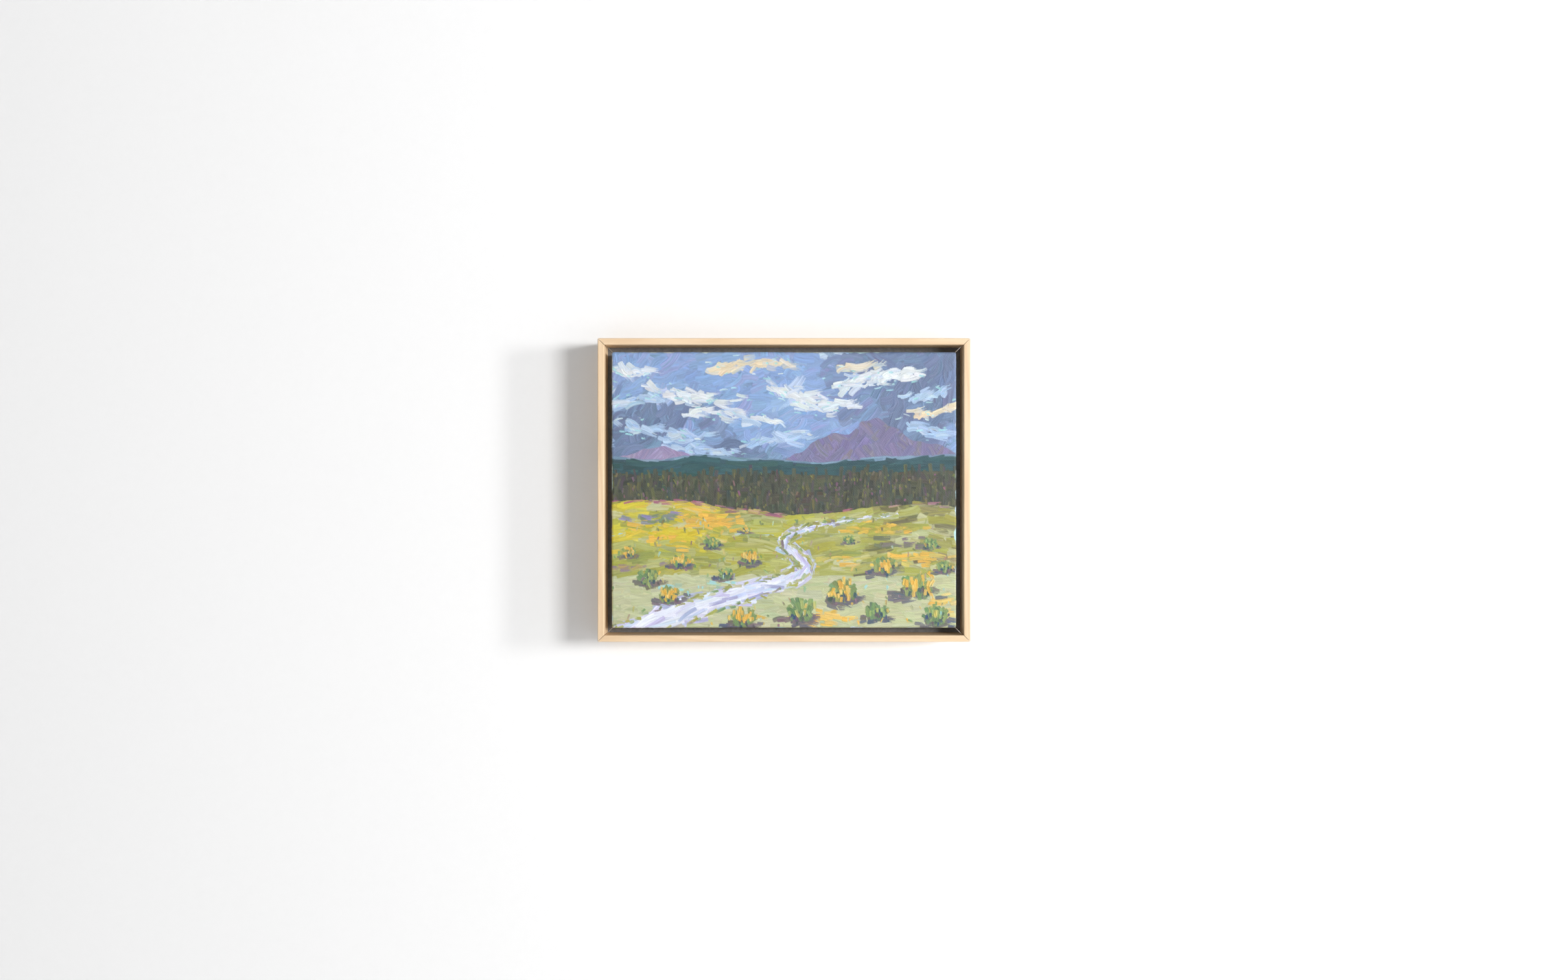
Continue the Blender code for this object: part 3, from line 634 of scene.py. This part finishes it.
    # Mountains
    for line, count, x0, x1, tones in (
        (PEAK, 340, 0.44, 1.02, PEAK_TONES),
        (FAR_PEAK, 150, -0.02, 0.28, [(164, 148, 180), (160, 144, 174), (178, 160, 182)]),
    ):
        shape = under_line(line, 1.0, (6, 4)) * field

        def mountain_spot(line=line, x0=x0, x1=x1):
            spot = between(line, HILLS, x0, x1, under=3)()
            return spot and (spot[0], spot[1], 50 if rng.random() < 0.5 else 125)

        p.dabs(
            count, mountain_spot, tones, turn=14, length=(8, 18), bend=30, width=(4, 7), load=(0.1, 0.2),
            dry=0.35, within=shape, streak=0.8, pick_up=0.3,
        )
    # Hills in haze, then the forest: thin paint, upright trees
    shape = under_line(HILLS, 0.7, (6, 4)) * field
    for count, top, base, tones in (
        (150, HILLS, lambda x: HILLS(x) + 3.5, [HAZE, (142, 170, 186)]),
        (330, lambda x: HILLS(x) + 3, TREE_TOPS, [TEAL, DARK_TEAL]),
    ):
        def hill_spot(place=between(top, base, under=4)):
            spot = place()
            return spot and (spot[0], spot[1], slope(HILLS, spot[0]))

        p.dabs(
            count, hill_spot, tones, turn=5, length=(14, 30), bend=10, width=(2.6, 4.6), load=0.11,
            dry=0.3, within=shape, pick_up=0.3,
        )
    shape = under_line(TREE_TOPS, 1.4, (4, 3)) * field
    p.dabs(
        560, between(TREE_TOPS, RIDGE, under=6), [FOREST, FOREST, DARK_FOREST, (88, 80, 68)],
        [(98, 96, 72), DARK_FOREST, (92, 80, 86)], turn=8, length=(14, 34), bend=12, width=(5, 9),
        load=0.05, dry=(0.15, 0.5), vary=5, within=shape,
    )
    p.dabs(
        560, between(TREE_TOPS, RIDGE, over=1.5), TRUNKS, [FOREST], turn=(90, 10), length=(4, 11),
        bend=16, width=(1.3, 3.4), load=(0.06, 0.14), dry=(0.4, 0.8), within=field, pick_up=0.35,
    )
    p.dabs(
        170, between(TREE_TOPS, RIDGE), GLINTS, turn=(85, 16), length=(1.5, 5), bend=0,
        width=(0.8, 1.8), load=0.12, dry=0.75, within=field, pick_up=0.3,
    )
    # Meadow, in bands of colour, thin in front
    meadow = under_line(RIDGE, 1.0, (5, 3)) * field
    grass = (
        ("yellow", [YELLOW, YELLOW, GOLD, STRAW, GRASS], [GRASS, STRAW, YELLOW]),
        ("straw", [STRAW, (208, 208, 162), (196, 201, 150)], [STRAW, (190, 194, 136), (214, 212, 174)]),
        ("olive", [GRASS, GRASS, STRAW, (152, 142, 96), OLIVE], [GRASS, STRAW]),
        (
            "green", [GRASS, (188, 188, 114), (192, 182, 70), (150, 156, 88)],
            [STRAW, GRASS, (188, 188, 114)],
        ),
    )

    def grass_at(x, y):
        x, y = x / wide, y / tall
        if x < 0.36 and y < 0.7:
            return "yellow"
        return "straw" if y > 0.8 else "olive" if x > 0.72 else "green"

    for layer in range(6):
        for kind, tones, others in grass:
            def grass_spot(kind=kind, layer=layer):
                x, y = rng.uniform(-6, wide + 6), (0.5 + 0.54 * (layer + rng.uniform(0, 1.6)) / 6) * tall
                if y < RIDGE(x) - 2 or grass_at(x, y) != kind:
                    return None
                depth = (y - RIDGE(x)) / (tall - RIDGE(x))
                return x, y, slope(RIDGE, x) * (1 - min(depth * 1.4, 1))

            thin = kind == "straw"
            p.dabs(
                430, grass_spot, tones, others, turn=9, length=(10, 24), bend=24, width=(3.5, 7),
                load=(0.05, 0.09) if thin else (0.12, 0.24), dry=(0.1, 0.35) if thin else (0.25, 0.6),
                within=meadow, pick_up=0.3,
            )
    for x, y, sx, sy, tones, count in (
        (0.78, 0.64, 0.06, 0.01, [GOLD, (222, 188, 86), GRASS], 34),
        (0.17, 0.665, 0.07, 0.024, [YELLOW, (224, 198, 48), GOLD], 60),
        (0.3, 0.615, 0.05, 0.01, [GOLD, (228, 180, 84)], 26),
        (0.9, 0.745, 0.048, 0.014, [GOLD, (214, 192, 102)], 28),
        (0.62, 0.965, 0.06, 0.014, [GOLD, (248, 206, 110)], 30),
        (0.955, 0.915, 0.022, 0.03, [GOLD, (240, 216, 136)], 24),
        (0.83, 0.7, 0.06, 0.012, [(134, 118, 124), (120, 128, 94)], 18),
        (0.25, 0.85, 0.09, 0.01, [(170, 178, 126), AQUA], 14),
        (0.12, 0.6, 0.05, 0.01, [(154, 146, 192), (124, 144, 106)], 16),
        (0.08, 0.78, 0.05, 0.008, [(152, 126, 142), (188, 164, 98)], 12),
        (0.66, 0.76, 0.05, 0.012, [GOLD, STRAW, (216, 200, 96)], 24),
    ):
        p.dabs(
            count, around(x, y, sx, sy), tones, turn=9, length=(4, 12), bend=20, width=(1.6, 3.6),
            load=(0.12, 0.26), dry=(0.4, 0.75), within=meadow,
        )

    def on_ridge():
        x = rng.uniform(0.0, 0.5 if rng.random() < 0.7 else 1.0) * wide
        return x, RIDGE(x) + rng.normal(0, 1.0), slope(RIDGE, x)

    p.dabs(
        70, on_ridge, [ROSE, ROSE, PLUM, (206, 164, 154), GRASS, (216, 190, 104)], turn=4,
        length=(5, 12), bend=8, width=(1.0, 2.2), load=0.16, dry=0.7, within=field, pick_up=0.3,
    )
    # Stream along a smooth line through its points: lilac shallows, white water, a few blue ripples
    knots = np.array(STREAM) * (wide, tall, tall)
    t = np.linspace(0, len(knots) - 1, 160)
    i = np.clip(np.floor(t).astype(int), 0, len(knots) - 2)
    f = (t - i)[:, None]
    a, b, c, d = (knots[np.clip(i + k, 0, len(knots) - 1)] for k in (-1, 0, 1, 2))
    course = 0.5 * (
        2 * b + (c - a) * f + (2 * a - 5 * b + 4 * c - d) * f**2 + (3 * b - a - 3 * c + d) * f**3
    )

    def beside_stream(offset):
        """A spot beside the stream's middle line, the line's angle there, and the stream's width."""
        k = int(rng.integers(2, len(course) - 2))
        x, y, size = course[k]
        dx, dy = (course[min(k + 2, len(course) - 1)] - course[k - 2])[:2]
        off = offset * size / math.hypot(dx, dy)
        return x - dy * off, y + dx * off, math.degrees(math.atan2(dy, dx)), size

    for tones, spread, count, load, brushes in (
        ([LILAC, PALE_BLUE, (180, 176, 206), (208, 216, 228)], 0.34, 300, 0.11, (0.34, 0.64)),
        ([WHITE, WHITE, (240, 240, 243), LILAC], 0.24, 320, 0.18, (0.34, 0.64)),
        ([WHITE, (250, 249, 250), (238, 240, 246)], 0.2, 220, 0.28, (0.25, 0.55)),
        ([LILAC, (186, 198, 224), (206, 226, 236), (172, 170, 204)], 0.32, 46, 0.14, (0.12, 0.24)),
    ):
        for _ in range(count):
            x, y, lean, size = beside_stream(float(np.clip(rng.normal(0, spread), -0.8, 0.8)))
            path = p.arc(x, y, lean + rng.normal(0, 9), rng.uniform(0.7, 1.8) * size + 3, rng.normal(0, 14))
            brush = min(rng.uniform(*brushes) * size + 0.7, 6.0)
            tone, second = (p.vary(p.pick(t), 5) for t in (tones, [WHITE, WHITE, LILAC, PALE_BLUE]))
            depth = load * rng.uniform(0.7, 1.1)
            p.stroke(path, brush, tone, second, depth, 0.55, field, streak=0.45, pick_up=0.14)

    def on_bank():
        return beside_stream(math.copysign(rng.uniform(0.5, 0.8), rng.random() - 0.5))[:3]

    p.dabs(
        210, on_bank, [GRASS, GRASS, LEAF, STRAW, (120, 136, 84), (146, 128, 132)], [STRAW, GRASS],
        turn=16, length=(3, 9), bend=24, width=(1.0, 2.4), load=(0.14, 0.24), dry=0.6, within=field,
        pick_up=0.25,
    )
    # Shrubs: shadow, leaves, dark stems, then blossom
    for x, y, size, bloom in SHRUBS:
        s = size * tall

        def leaf_spot(x=x, y=y, s=s):
            a, q = rng.uniform(0, 2 * math.pi), 0.78 * s * math.sqrt(rng.random())
            return x * wide + q * math.cos(a), y * tall + q * math.sin(a) * 0.72, 90 + 34 * math.cos(a)

        def brush(low_share, high_share, more=0.0, s=s):
            return s * low_share + more, s * high_share + more

        p.dabs(
            24, around(x, y + 0.5 * size, 0.6 * s / wide, 0.16 * size), SHADE, [(134, 118, 110)], turn=12,
            length=brush(0.5, 1.1), bend=20, width=brush(0.22, 0.4), load=0.12, dry=0.6, within=field,
            pick_up=0.25,
        )
        p.dabs(
            44, leaf_spot, LEAVES[bloom], [LEAF, (162, 176, 102)], turn=22, length=brush(0.35, 0.65), bend=40,
            width=brush(0.18, 0.34), load=(0.14, 0.24), dry=0.45, within=field, pick_up=0.28,
        )
        p.dabs(
            10, around(x, y + 0.35 * size, 0.5 * s / wide, 0.18 * size), [NAVY, (68, 92, 82), PLUM],
            turn=(88, 18), length=brush(0.2, 0.4), bend=20, width=brush(0.1, 0.18, 0.4),
            load=(0.12, 0.2), dry=0.6, within=field,
        )
        p.dabs(
            20 if bloom else 7, around(x, y - 0.1 * size, 0.42 * s / wide, 0.28 * size), TIPS[bloom],
            turn=(88, 14), length=brush(0.25, 0.5), bend=20, width=brush(0.12, 0.2, 0.5),
            load=(0.22, 0.36), dry=0.45, within=field,
        )

    def on_land():
        x, y = rng.uniform(0, 1) * wide, rng.uniform(0.6, 1.0) * tall
        clear = np.hypot(course[:, 0] - x, course[:, 1] - y) > 0.8 * course[:, 2]
        return (x, y, 0) if clear.all() else None

    p.dabs(
        200, on_land, [GOLD, (222, 190, 100), (154, 116, 126), LEAF, LEAF, STRAW, STRAW, AQUA, OLIVE],
        turn=(86, 24), length=(2, 5), bend=20, width=(0.8, 1.8), load=0.16, dry=0.7, within=meadow,
        pick_up=0.3,
    )
    return p


def film_mesh(p):
    """The paint as a surface over the front, wrapped round its edges, raised by the paint's height."""
    radius = EDGE_RADIUS
    across, up = p.x - CANVAS_WIDE / 2, CANVAS_TALL / 2 - p.y
    core_x = np.clip(across, radius - CANVAS_WIDE / 2, CANVAS_WIDE / 2 - radius)
    core_z = np.clip(up, radius - CANVAS_TALL / 2, CANVAS_TALL / 2 - radius)
    dx, dz = across - core_x, up - core_z
    out = np.hypot(dx, dz)
    ux, uz = (d / np.maximum(out, 1e-6) for d in (dx, dz))
    angle = np.minimum(out / radius, np.pi / 2)
    straight = np.maximum(out - radius * np.pi / 2, 0)
    lift = PAINT_RELIEF * p.height + FILM_LIFT
    reach = radius * np.sin(angle) + lift * np.sin(angle)
    depth = radius * (1 - np.cos(angle)) + straight - lift * np.cos(angle)
    points = np.stack([core_x + ux * reach, depth, core_z + uz * reach], -1) * MM
    points += np.array([0, CANVAS_FRONT, MIDDLE_Z])
    return points.reshape(-1, 3)


def grid_faces(rows, columns):
    """Four corners for each face of a grid of points."""
    corner = (np.arange(rows - 1)[:, None] * columns + np.arange(columns - 1)).ravel()
    return np.stack([corner, corner + columns, corner + columns + 1, corner + 1], -1)


def mesh_of(name, points, faces, material):
    """A mesh from arrays of points and four-sided faces."""
    mesh = bpy.data.meshes.new(name)
    mesh.vertices.add(len(points))
    mesh.vertices.foreach_set("co", np.ascontiguousarray(points, np.float32).ravel())
    mesh.loops.add(faces.size)
    mesh.loops.foreach_set("vertex_index", np.ascontiguousarray(faces, np.int32).ravel())
    mesh.polygons.add(len(faces))
    mesh.polygons.foreach_set("loop_start", np.arange(0, faces.size, 4, dtype=np.int32))
    mesh.polygons.foreach_set("use_smooth", np.full(len(faces), True))
    mesh.update(calc_edges=True)
    mesh.validate()
    mesh.materials.append(material)
    return add_object(name, mesh)


def oil_paint():
    """Oil paint: its colour from the strokes with painted shade along the bristle furrows, gloss where it is
    thick, and the weave where it is thin.
    """
    n = Nodes("oil_paint")

    def stored(name, output):
        return n.node("ShaderNodeAttribute", attribute_name=name).outputs[output]

    thick = stored("coat", "Fac")
    hairs = n.noise(n.stretched((1 / HAIR_PITCH, 0.12, 3.0), stored("bristle", "Vector")), 1.6, 3.0, 0.6)
    grain = n.noise(n.space, 900, 4.0, 0.6)
    # Painted shade: the colour is darkened along the bristle marks, where the furrows between hairs would
    # fall in shade, partly the paint's own streaks
    colour = n.mix(
        n.spread(hairs, 0.3, 0.75, 0.0, 0.22), stored("paint", "Color"), (0.02, 0.02, 0.025), "MULTIPLY",
    )
    colour = n.mix(n.spread(grain, 0.35, 0.75, 0.0, 0.1), colour, (1.0, 1.0, 1.0), "SOFT_LIGHT")
    rough = n.math("SUBTRACT", n.spread(hairs, 0.3, 0.7, 0.46, 0.66), n.math("MULTIPLY", thick, 0.12))
    normal = n.bump(weave_height(n), 0.1 * MM, 1.0)
    normal = n.bump(hairs, 0.07 * MM, 0.8, normal)
    return n.finish(colour, rough, normal, Specular_IOR_Level=0.45)


# ------ the cloth

CLOTH_THICKNESS = 0.5  # mm
HEM = 22.0  # mm of cloth turned over the stretcher's back
HEM_CORNER = 0.9  # mm, radius where the cloth turns onto the back
THREAD_PITCH = 0.62 * MM
THREAD_ENDS = 90
RAGGED_FROM = 16  # mm of hem, past which its edge frays and curls
FOLD_START, FOLD_WIDTH, FOLD_HEIGHT = 12.6, 9.0, 0.55  # mm, inset from the canvas's outside, width and rise


def weave_height(n):
    """A plain weave: bumps where each thread rides over its neighbours, on the front, sides and hem alike."""
    wander = n.node("ShaderNodeTexNoise", {"Vector": n.space, "Scale": 260}).outputs["Color"]
    inputs = {0: wander, 1: (0.3 * MM, 0.0, 0.3 * MM), 2: n.space}
    uneven = n.node("ShaderNodeVectorMath", inputs, operation="MULTIPLY_ADD").outputs[0]
    x, y, z = n.node("ShaderNodeSeparateXYZ", {0: uneven}).outputs
    turn = math.pi / THREAD_PITCH
    warp, weft = (n.math("SINE", n.math("MULTIPLY", n.math("ADD", side, y), turn)) for side in (x, z))
    return n.math("MULTIPLY_ADD", n.math("MULTIPLY", warp, weft), 0.5, 0.5)


def primed_cotton():
    """Acrylic primer brushed over cotton: near white with painted shade between the threads, its weave
    softened, with faint brush marks.
    """
    n = Nodes("primed_cotton")
    weave = weave_height(n)
    brushed = n.noise(n.stretched((0.15, 1, 1)), 500, 3.0)
    soil = n.noise(n.space, 45, 4.0)
    # Painted shade: the primer is darker where the weave sinks between threads and lighter on their tops
    colour = n.mix(n.spread(weave, 0.2, 0.8), srgb(222, 220, 212), srgb(240, 239, 234))
    colour = n.mix(n.spread(soil, 0.45, 0.8, 0.0, 0.5), colour, srgb(226, 218, 200))
    normal = n.bump(brushed, 0.03 * MM, 0.5, n.bump(weave, 0.12 * MM, 0.9))
    return n.finish(colour, n.spread(brushed, 0.3, 0.7, 0.7, 0.86), normal)


def raw_cotton():
    """Unbleached cotton: cream threads with painted shade between them, and flecks of seed husk."""
    n = Nodes("raw_cotton")
    weave = weave_height(n)
    slubs = n.noise(n.stretched((1, 1, 0.06)), 900, 2.0)
    husks = n.spread(n.noise(n.space, 700, 2.0), 0.7, 0.74)
    # Painted shade: the cotton is darker where the weave sinks between threads
    colour = n.mix(n.spread(weave, 0.15, 0.85), srgb(186, 172, 142), srgb(226, 214, 186))
    colour = n.mix(n.spread(slubs, 0.5, 0.8, 0.0, 0.5), colour, srgb(206, 190, 156))
    colour = n.mix(husks, colour, srgb(130, 104, 72))
    return n.finish(colour, 0.92, n.bump(weave, 0.18 * MM, 1.0), Sheen_Weight=0.25)


def cloth_mesh(materials):
    """The stretched cloth: front, sides and hem, with mitred corners, given its thickness inwards."""
    rng = np.random.default_rng(5)
    half_x, half_z = CANVAS_WIDE / 2, CANVAS_TALL / 2
    radius = EDGE_RADIUS
    core_x, core_z = half_x - radius, half_z - radius
    front, back = CANVAS_FRONT / MM, CANVAS_BACK / MM
    across, up = np.linspace(-core_x, core_x, 65), np.linspace(-core_z, core_z, 53)
    points = []

    def add(x, y, z):
        points.append((x * MM, y * MM, z * MM + MIDDLE_Z))
        return len(points) - 1

    grid = [[add(x, front, z) for x in across] for z in up]
    faces = [
        (grid[r][c], grid[r][c + 1], grid[r + 1][c + 1], grid[r + 1][c])
        for r in range(len(up) - 1)
        for c in range(len(across) - 1)
    ]
    # The edge, anticlockwise seen from the front: each place's core point, outward direction and grid point
    ring = []
    sides = (
        [(x, -core_z, grid[0][i]) for i, x in enumerate(across)],
        [(core_x, z, grid[i][-1]) for i, z in enumerate(up)],
        [(x, core_z, grid[-1][i]) for i, x in enumerate(across)][::-1],
        [(-core_x, z, grid[i][0]) for i, z in enumerate(up)][::-1],
    )
    turn = math.radians(90)
    for k, side in enumerate(sides):
        start = -turn + k * turn
        ring += [(x, z, start, corner) for x, z, corner in side]
        x, z, corner = side[-1]
        ring += [(x, z, start + turn * j / 6, corner) for j in range(1, 6)]
    wave = rng.normal(0, 1, len(ring))
    wave = np.convolve(np.tile(wave, 3), np.ones(5) / 5, "same")[len(ring) : 2 * len(ring)]
    # The profile: (reach from the core, depth), then the hem as its inset from the outside
    arc = [(radius * math.sin(a), front + radius * (1 - math.cos(a))) for a in np.linspace(0, turn, 6)[1:]]
    arc += [(radius, y) for y in np.linspace(front + radius, back - HEM_CORNER, 7)[1:]]
    hem = [
        (HEM_CORNER * (1 - math.cos(a)), back - HEM_CORNER * (1 - math.sin(a)))
        for a in np.linspace(0, turn, 4)[1:]
    ]
    hem += [(inset, back) for inset in (3, 6, 9, 12, 14, 16, 18, 20, 21.2, HEM)]
    loops = [[corner for *_, corner in ring]]
    for reach, y in arc:
        loops.append([add(x + reach * math.cos(a), y, z + reach * math.sin(a)) for x, z, a, _ in ring])
    for inset, y in hem:
        loop = []
        for k, (x, z, a, _) in enumerate(ring):
            loose = max(0, (inset - RAGGED_FROM) / (HEM - RAGGED_FROM))
            ragged, curl = 0.5 * wave[k] * loose, 0.22 * abs(wave[k]) * loose**2
            limit_x, limit_z = half_x - inset - ragged, half_z - inset - ragged
            px, pz = x + radius * math.cos(a), z + radius * math.sin(a)
            px, pz = min(max(px, -limit_x), limit_x), min(max(pz, -limit_z), limit_z)
            loop.append(add(px, y + curl, pz))
        loops.append(loop)
    for inner, outer in zip(loops, loops[1:]):
        for k in range(len(ring)):
            j = (k + 1) % len(ring)
            faces.append((inner[k], outer[k], outer[j], inner[j]))
    mesh = bpy.data.meshes.new("cloth")
    shape = bmesh.new()
    made = [shape.verts.new(p) for p in points]
    for face in faces:
        if len(set(face)) == 4:
            shape.faces.new([made[i] for i in face])
        elif len(set(face)) == 3:
            shape.faces.new([made[i] for i in dict.fromkeys(face)])
    bmesh.ops.remove_doubles(shape, verts=shape.verts, dist=0.02 * MM)
    bmesh.ops.dissolve_degenerate(shape, edges=shape.edges, dist=0.01 * MM)
    bmesh.ops.recalc_face_normals(shape, faces=shape.faces)
    target = Vector((0, CANVAS_FRONT, MIDDLE_Z))
    middle = min(shape.faces, key=lambda f: (f.calc_center_median() - target).length)
    if middle.normal.y > 0:
        bmesh.ops.reverse_faces(shape, faces=shape.faces)
    for face in shape.faces:
        face.smooth = True
    shape.to_mesh(mesh)
    shape.free()
    for material in materials:
        mesh.materials.append(material)
    made = add_object("cloth", mesh)
    thick = made.modifiers.new("thickness", "SOLIDIFY")
    thick.thickness = CLOTH_THICKNESS * MM
    thick.offset = -1
    thick.material_offset = 1
    thick.material_offset_rim = 1
    return made


def corner_fold(name, side_x, side_z, material):
    """The folded tongue of spare cloth at a corner of the hem: a thin three-layer tuck along the mitre."""
    rng = np.random.default_rng(31 + side_x + 3 * side_z)
    corner = np.array([CANVAS_WIDE / 2, CANVAS_TALL / 2])
    rows, columns = 16, 9
    points = []
    for i in range(rows):
        t = i / (rows - 1)
        inset = FOLD_START + (HEM - 0.6 - FOLD_START) * t
        reach = FOLD_WIDTH * (0.75 + 0.25 * t) + rng.normal(0, 0.12)
        for j in range(columns):
            u = j / (columns - 1)
            x, z = corner[0] - inset - reach * u, corner[1] - inset
            swell = math.sin(math.pi * min(u * 1.6, 0.5)) * math.sin(math.pi * min(t * 1.2 + 0.05, 0.5))
            y = CANVAS_BACK / MM + 0.05 + FOLD_HEIGHT * swell * (1 - 0.35 * u) + 0.03 * math.sin(
                7 * u + 3 * t
            )
            points.append((side_x * x * MM, y * MM, side_z * z * MM + MIDDLE_Z))
    faces = grid_faces(rows, columns)
    if side_x * side_z < 0:
        faces = faces[:, ::-1]
    made = mesh_of(name, np.array(points), faces, material)
    thick = made.modifiers.new("layers", "SOLIDIFY")
    thick.thickness = 0.16 * MM
    thick.offset = -1
    return made


def loose_threads(material):
    """Short cotton ends that have come out of the hem's cut edge."""
    rng = np.random.default_rng(8)
    data = bpy.data.curves.new("loose_threads", "CURVE")
    data.dimensions = "3D"
    data.bevel_depth = 0.09 * MM
    data.bevel_resolution = 2
    y = CANVAS_BACK / MM - 0.2
    for _ in range(THREAD_ENDS):
        level = rng.random() < 0.55
        side = rng.choice((-1, 1))
        span = (CANVAS_WIDE if level else CANVAS_TALL) / 2 - HEM - 4
        place, edge = rng.uniform(-span, span), (CANVAS_TALL if level else CANVAS_WIDE) / 2 - HEM + 0.3
        length, lean = rng.uniform(0.8, 3.2), rng.normal(0, 0.8)
        spline = data.splines.new("NURBS")
        spline.points.add(3)
        for k, point in enumerate(spline.points):
            t = k / 3
            inwards, along = edge - length * t, place + lean * t * t
            x, z = (along, side * inwards) if level else (side * inwards, along)
            point.co = (x * MM, (y + 0.35 * math.sin(2.2 * t)) * MM, z * MM + MIDDLE_Z, 1)
        spline.use_endpoint_u = True
        spline.order_u = 3
    data.materials.append(material)
    return add_object("loose_threads", data)


def build_canvas():
    """The painted film, the cloth and its folds and threads, on the framed canvas's body."""
    painting = paint_landscape()
    film = mesh_of("paint_film", film_mesh(painting), grid_faces(*painting.x.shape), oil_paint())
    colours = np.ones((painting.x.size, 4), np.float32)
    levels = painting.colour.reshape(-1, 3) * DAYLIGHT / 255
    colours[:, :3] = np.where(levels > 0.04, ((levels + 0.055) / 1.055) ** 2.4, levels / 12.92)
    for name, kind, field, values in (
        ("paint", "FLOAT_COLOR", "color", colours),
        ("bristle", "FLOAT_VECTOR", "vector", painting.bristle),
        ("coat", "FLOAT", "value", painting.coat),
    ):
        film.data.attributes.new(name, kind, "POINT").data.foreach_set(field, values.ravel())
    primed, raw = primed_cotton(), raw_cotton()
    cloth = cloth_mesh([primed, raw])
    folds = [
        corner_fold(f"hem_fold_{up}_{side}", dx, dz, primed)
        for up, dz in (("bottom", -1), ("top", 1))
        for side, dx in (("left", -1), ("right", 1))
    ]
    threads = loose_threads(raw)
    for piece in (film, cloth, threads, *folds):
        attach(piece, "framed_canvas")
    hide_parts("canvas_cloth")


build_canvas()


# ------ stage, light and camera


def plaster(name, colour, one_sided=False):
    """A matt wall or floor. A one-sided one is clear from behind, so that rear views see past it."""
    n = Nodes(name)
    tooth = n.noise(n.space, 120, 4.0)
    shade = n.mix(n.spread(tooth, 0.3, 0.7), colour, tuple(c * 0.985 for c in colour))
    material = n.finish(shade, 0.9, n.bump(tooth, 0.1 * MM, 0.3))
    if one_sided:
        back = n.node("ShaderNodeNewGeometry").outputs["Backfacing"]
        clear = n.node("ShaderNodeBsdfTransparent").outputs[0]
        choose = n.node("ShaderNodeMixShader", {0: back, 1: n.shader.outputs[0], 2: clear})
        n.link(choose.outputs[0], n.tree.nodes["Material Output"].inputs["Surface"])
    return material


def stage_sheet(name, centre, size, rotation, material):
    mesh = bpy.data.meshes.new(name)
    w, d = size[0] / 2, size[1] / 2
    mesh.from_pydata([(-w, -d, 0), (w, -d, 0), (w, d, 0), (-w, d, 0)], [], [(0, 1, 2, 3)])
    mesh.materials.append(material)
    made = add_object(name, mesh)
    made.location, made.rotation_euler = centre, rotation
    return made


FLOOR_Z, WALL_TOP, FLOOR_SIZE, WALL_WIDTH = -0.34, 2.34, 8, 6  # m
white = (0.95, 0.95, 0.95)
stage_sheet("floor", (0, 0, FLOOR_Z), (FLOOR_SIZE, FLOOR_SIZE), (0, 0, 0), plaster("pale_floor", white))
wall = stage_sheet(
    "wall", (0, WALL_Y, (WALL_TOP + FLOOR_Z) / 2), (WALL_WIDTH, WALL_TOP - FLOOR_Z),
    (math.radians(90), 0, 0), plaster("white_wall", white, one_sided=True),
)
wall.visible_shadow = False
wall.visible_diffuse = False


def area_light(name, direction, distance, size, power):
    """A soft light in a direction (azimuth from the front towards +X, elevation) from the frame."""
    azimuth, elevation = (math.radians(a) for a in direction)
    out = Vector(
        (math.sin(azimuth) * math.cos(elevation), -math.cos(azimuth) * math.cos(elevation),
        math.sin(elevation))
    )
    data = bpy.data.lights.new(name, "AREA")
    data.shape = "RECTANGLE"
    data.size, data.size_y = size
    data.energy = power
    made = add_object(name, data)
    made.location = Vector((0, 0, MIDDLE_Z)) + out * distance
    made.rotation_euler = (-out).to_track_quat("-Z", "Y").to_euler()


# Two keys give the shadow its two steps. Direction in degrees, distance and size in m, power in W.
for light in (
    ("key", (41, 5), 3.4, (0.83, 0.7), 69),
    ("key_far", (63.4, 5), 3.4, (0.32, 0.7), 46),
    ("fill_front", (-6, 14), 2.6, (2.2, 2.0), 7.6),
    ("behind_high", (165, 32), 2.2, (1.0, 1.0), 20),
    ("behind_low", (208, 12), 2.2, (0.8, 0.8), 9),
):
    area_light(*light)

WORLD_LIGHT = 0.222
world = bpy.data.worlds.new("studio")
bpy.context.scene.world = world
world.use_nodes = True
background = world.node_tree.nodes["Background"].inputs
background["Color"].default_value = (1, 1, 1, 1)
background["Strength"].default_value = WORLD_LIGHT
bpy.context.scene.view_settings.view_transform = "Standard"

CAMERA_DISTANCE = 1.033  # m from the frame's front
LENS, SENSOR = 32.25, 36  # mm
camera_data = bpy.data.cameras.new("camera")
camera_data.lens, camera_data.sensor_width = LENS, SENSOR
camera = add_object("camera", camera_data)
camera.location = (0, FRONT - CAMERA_DISTANCE, MIDDLE_Z)
camera.rotation_euler = (math.radians(90), 0, 0)
bpy.context.scene.camera = camera
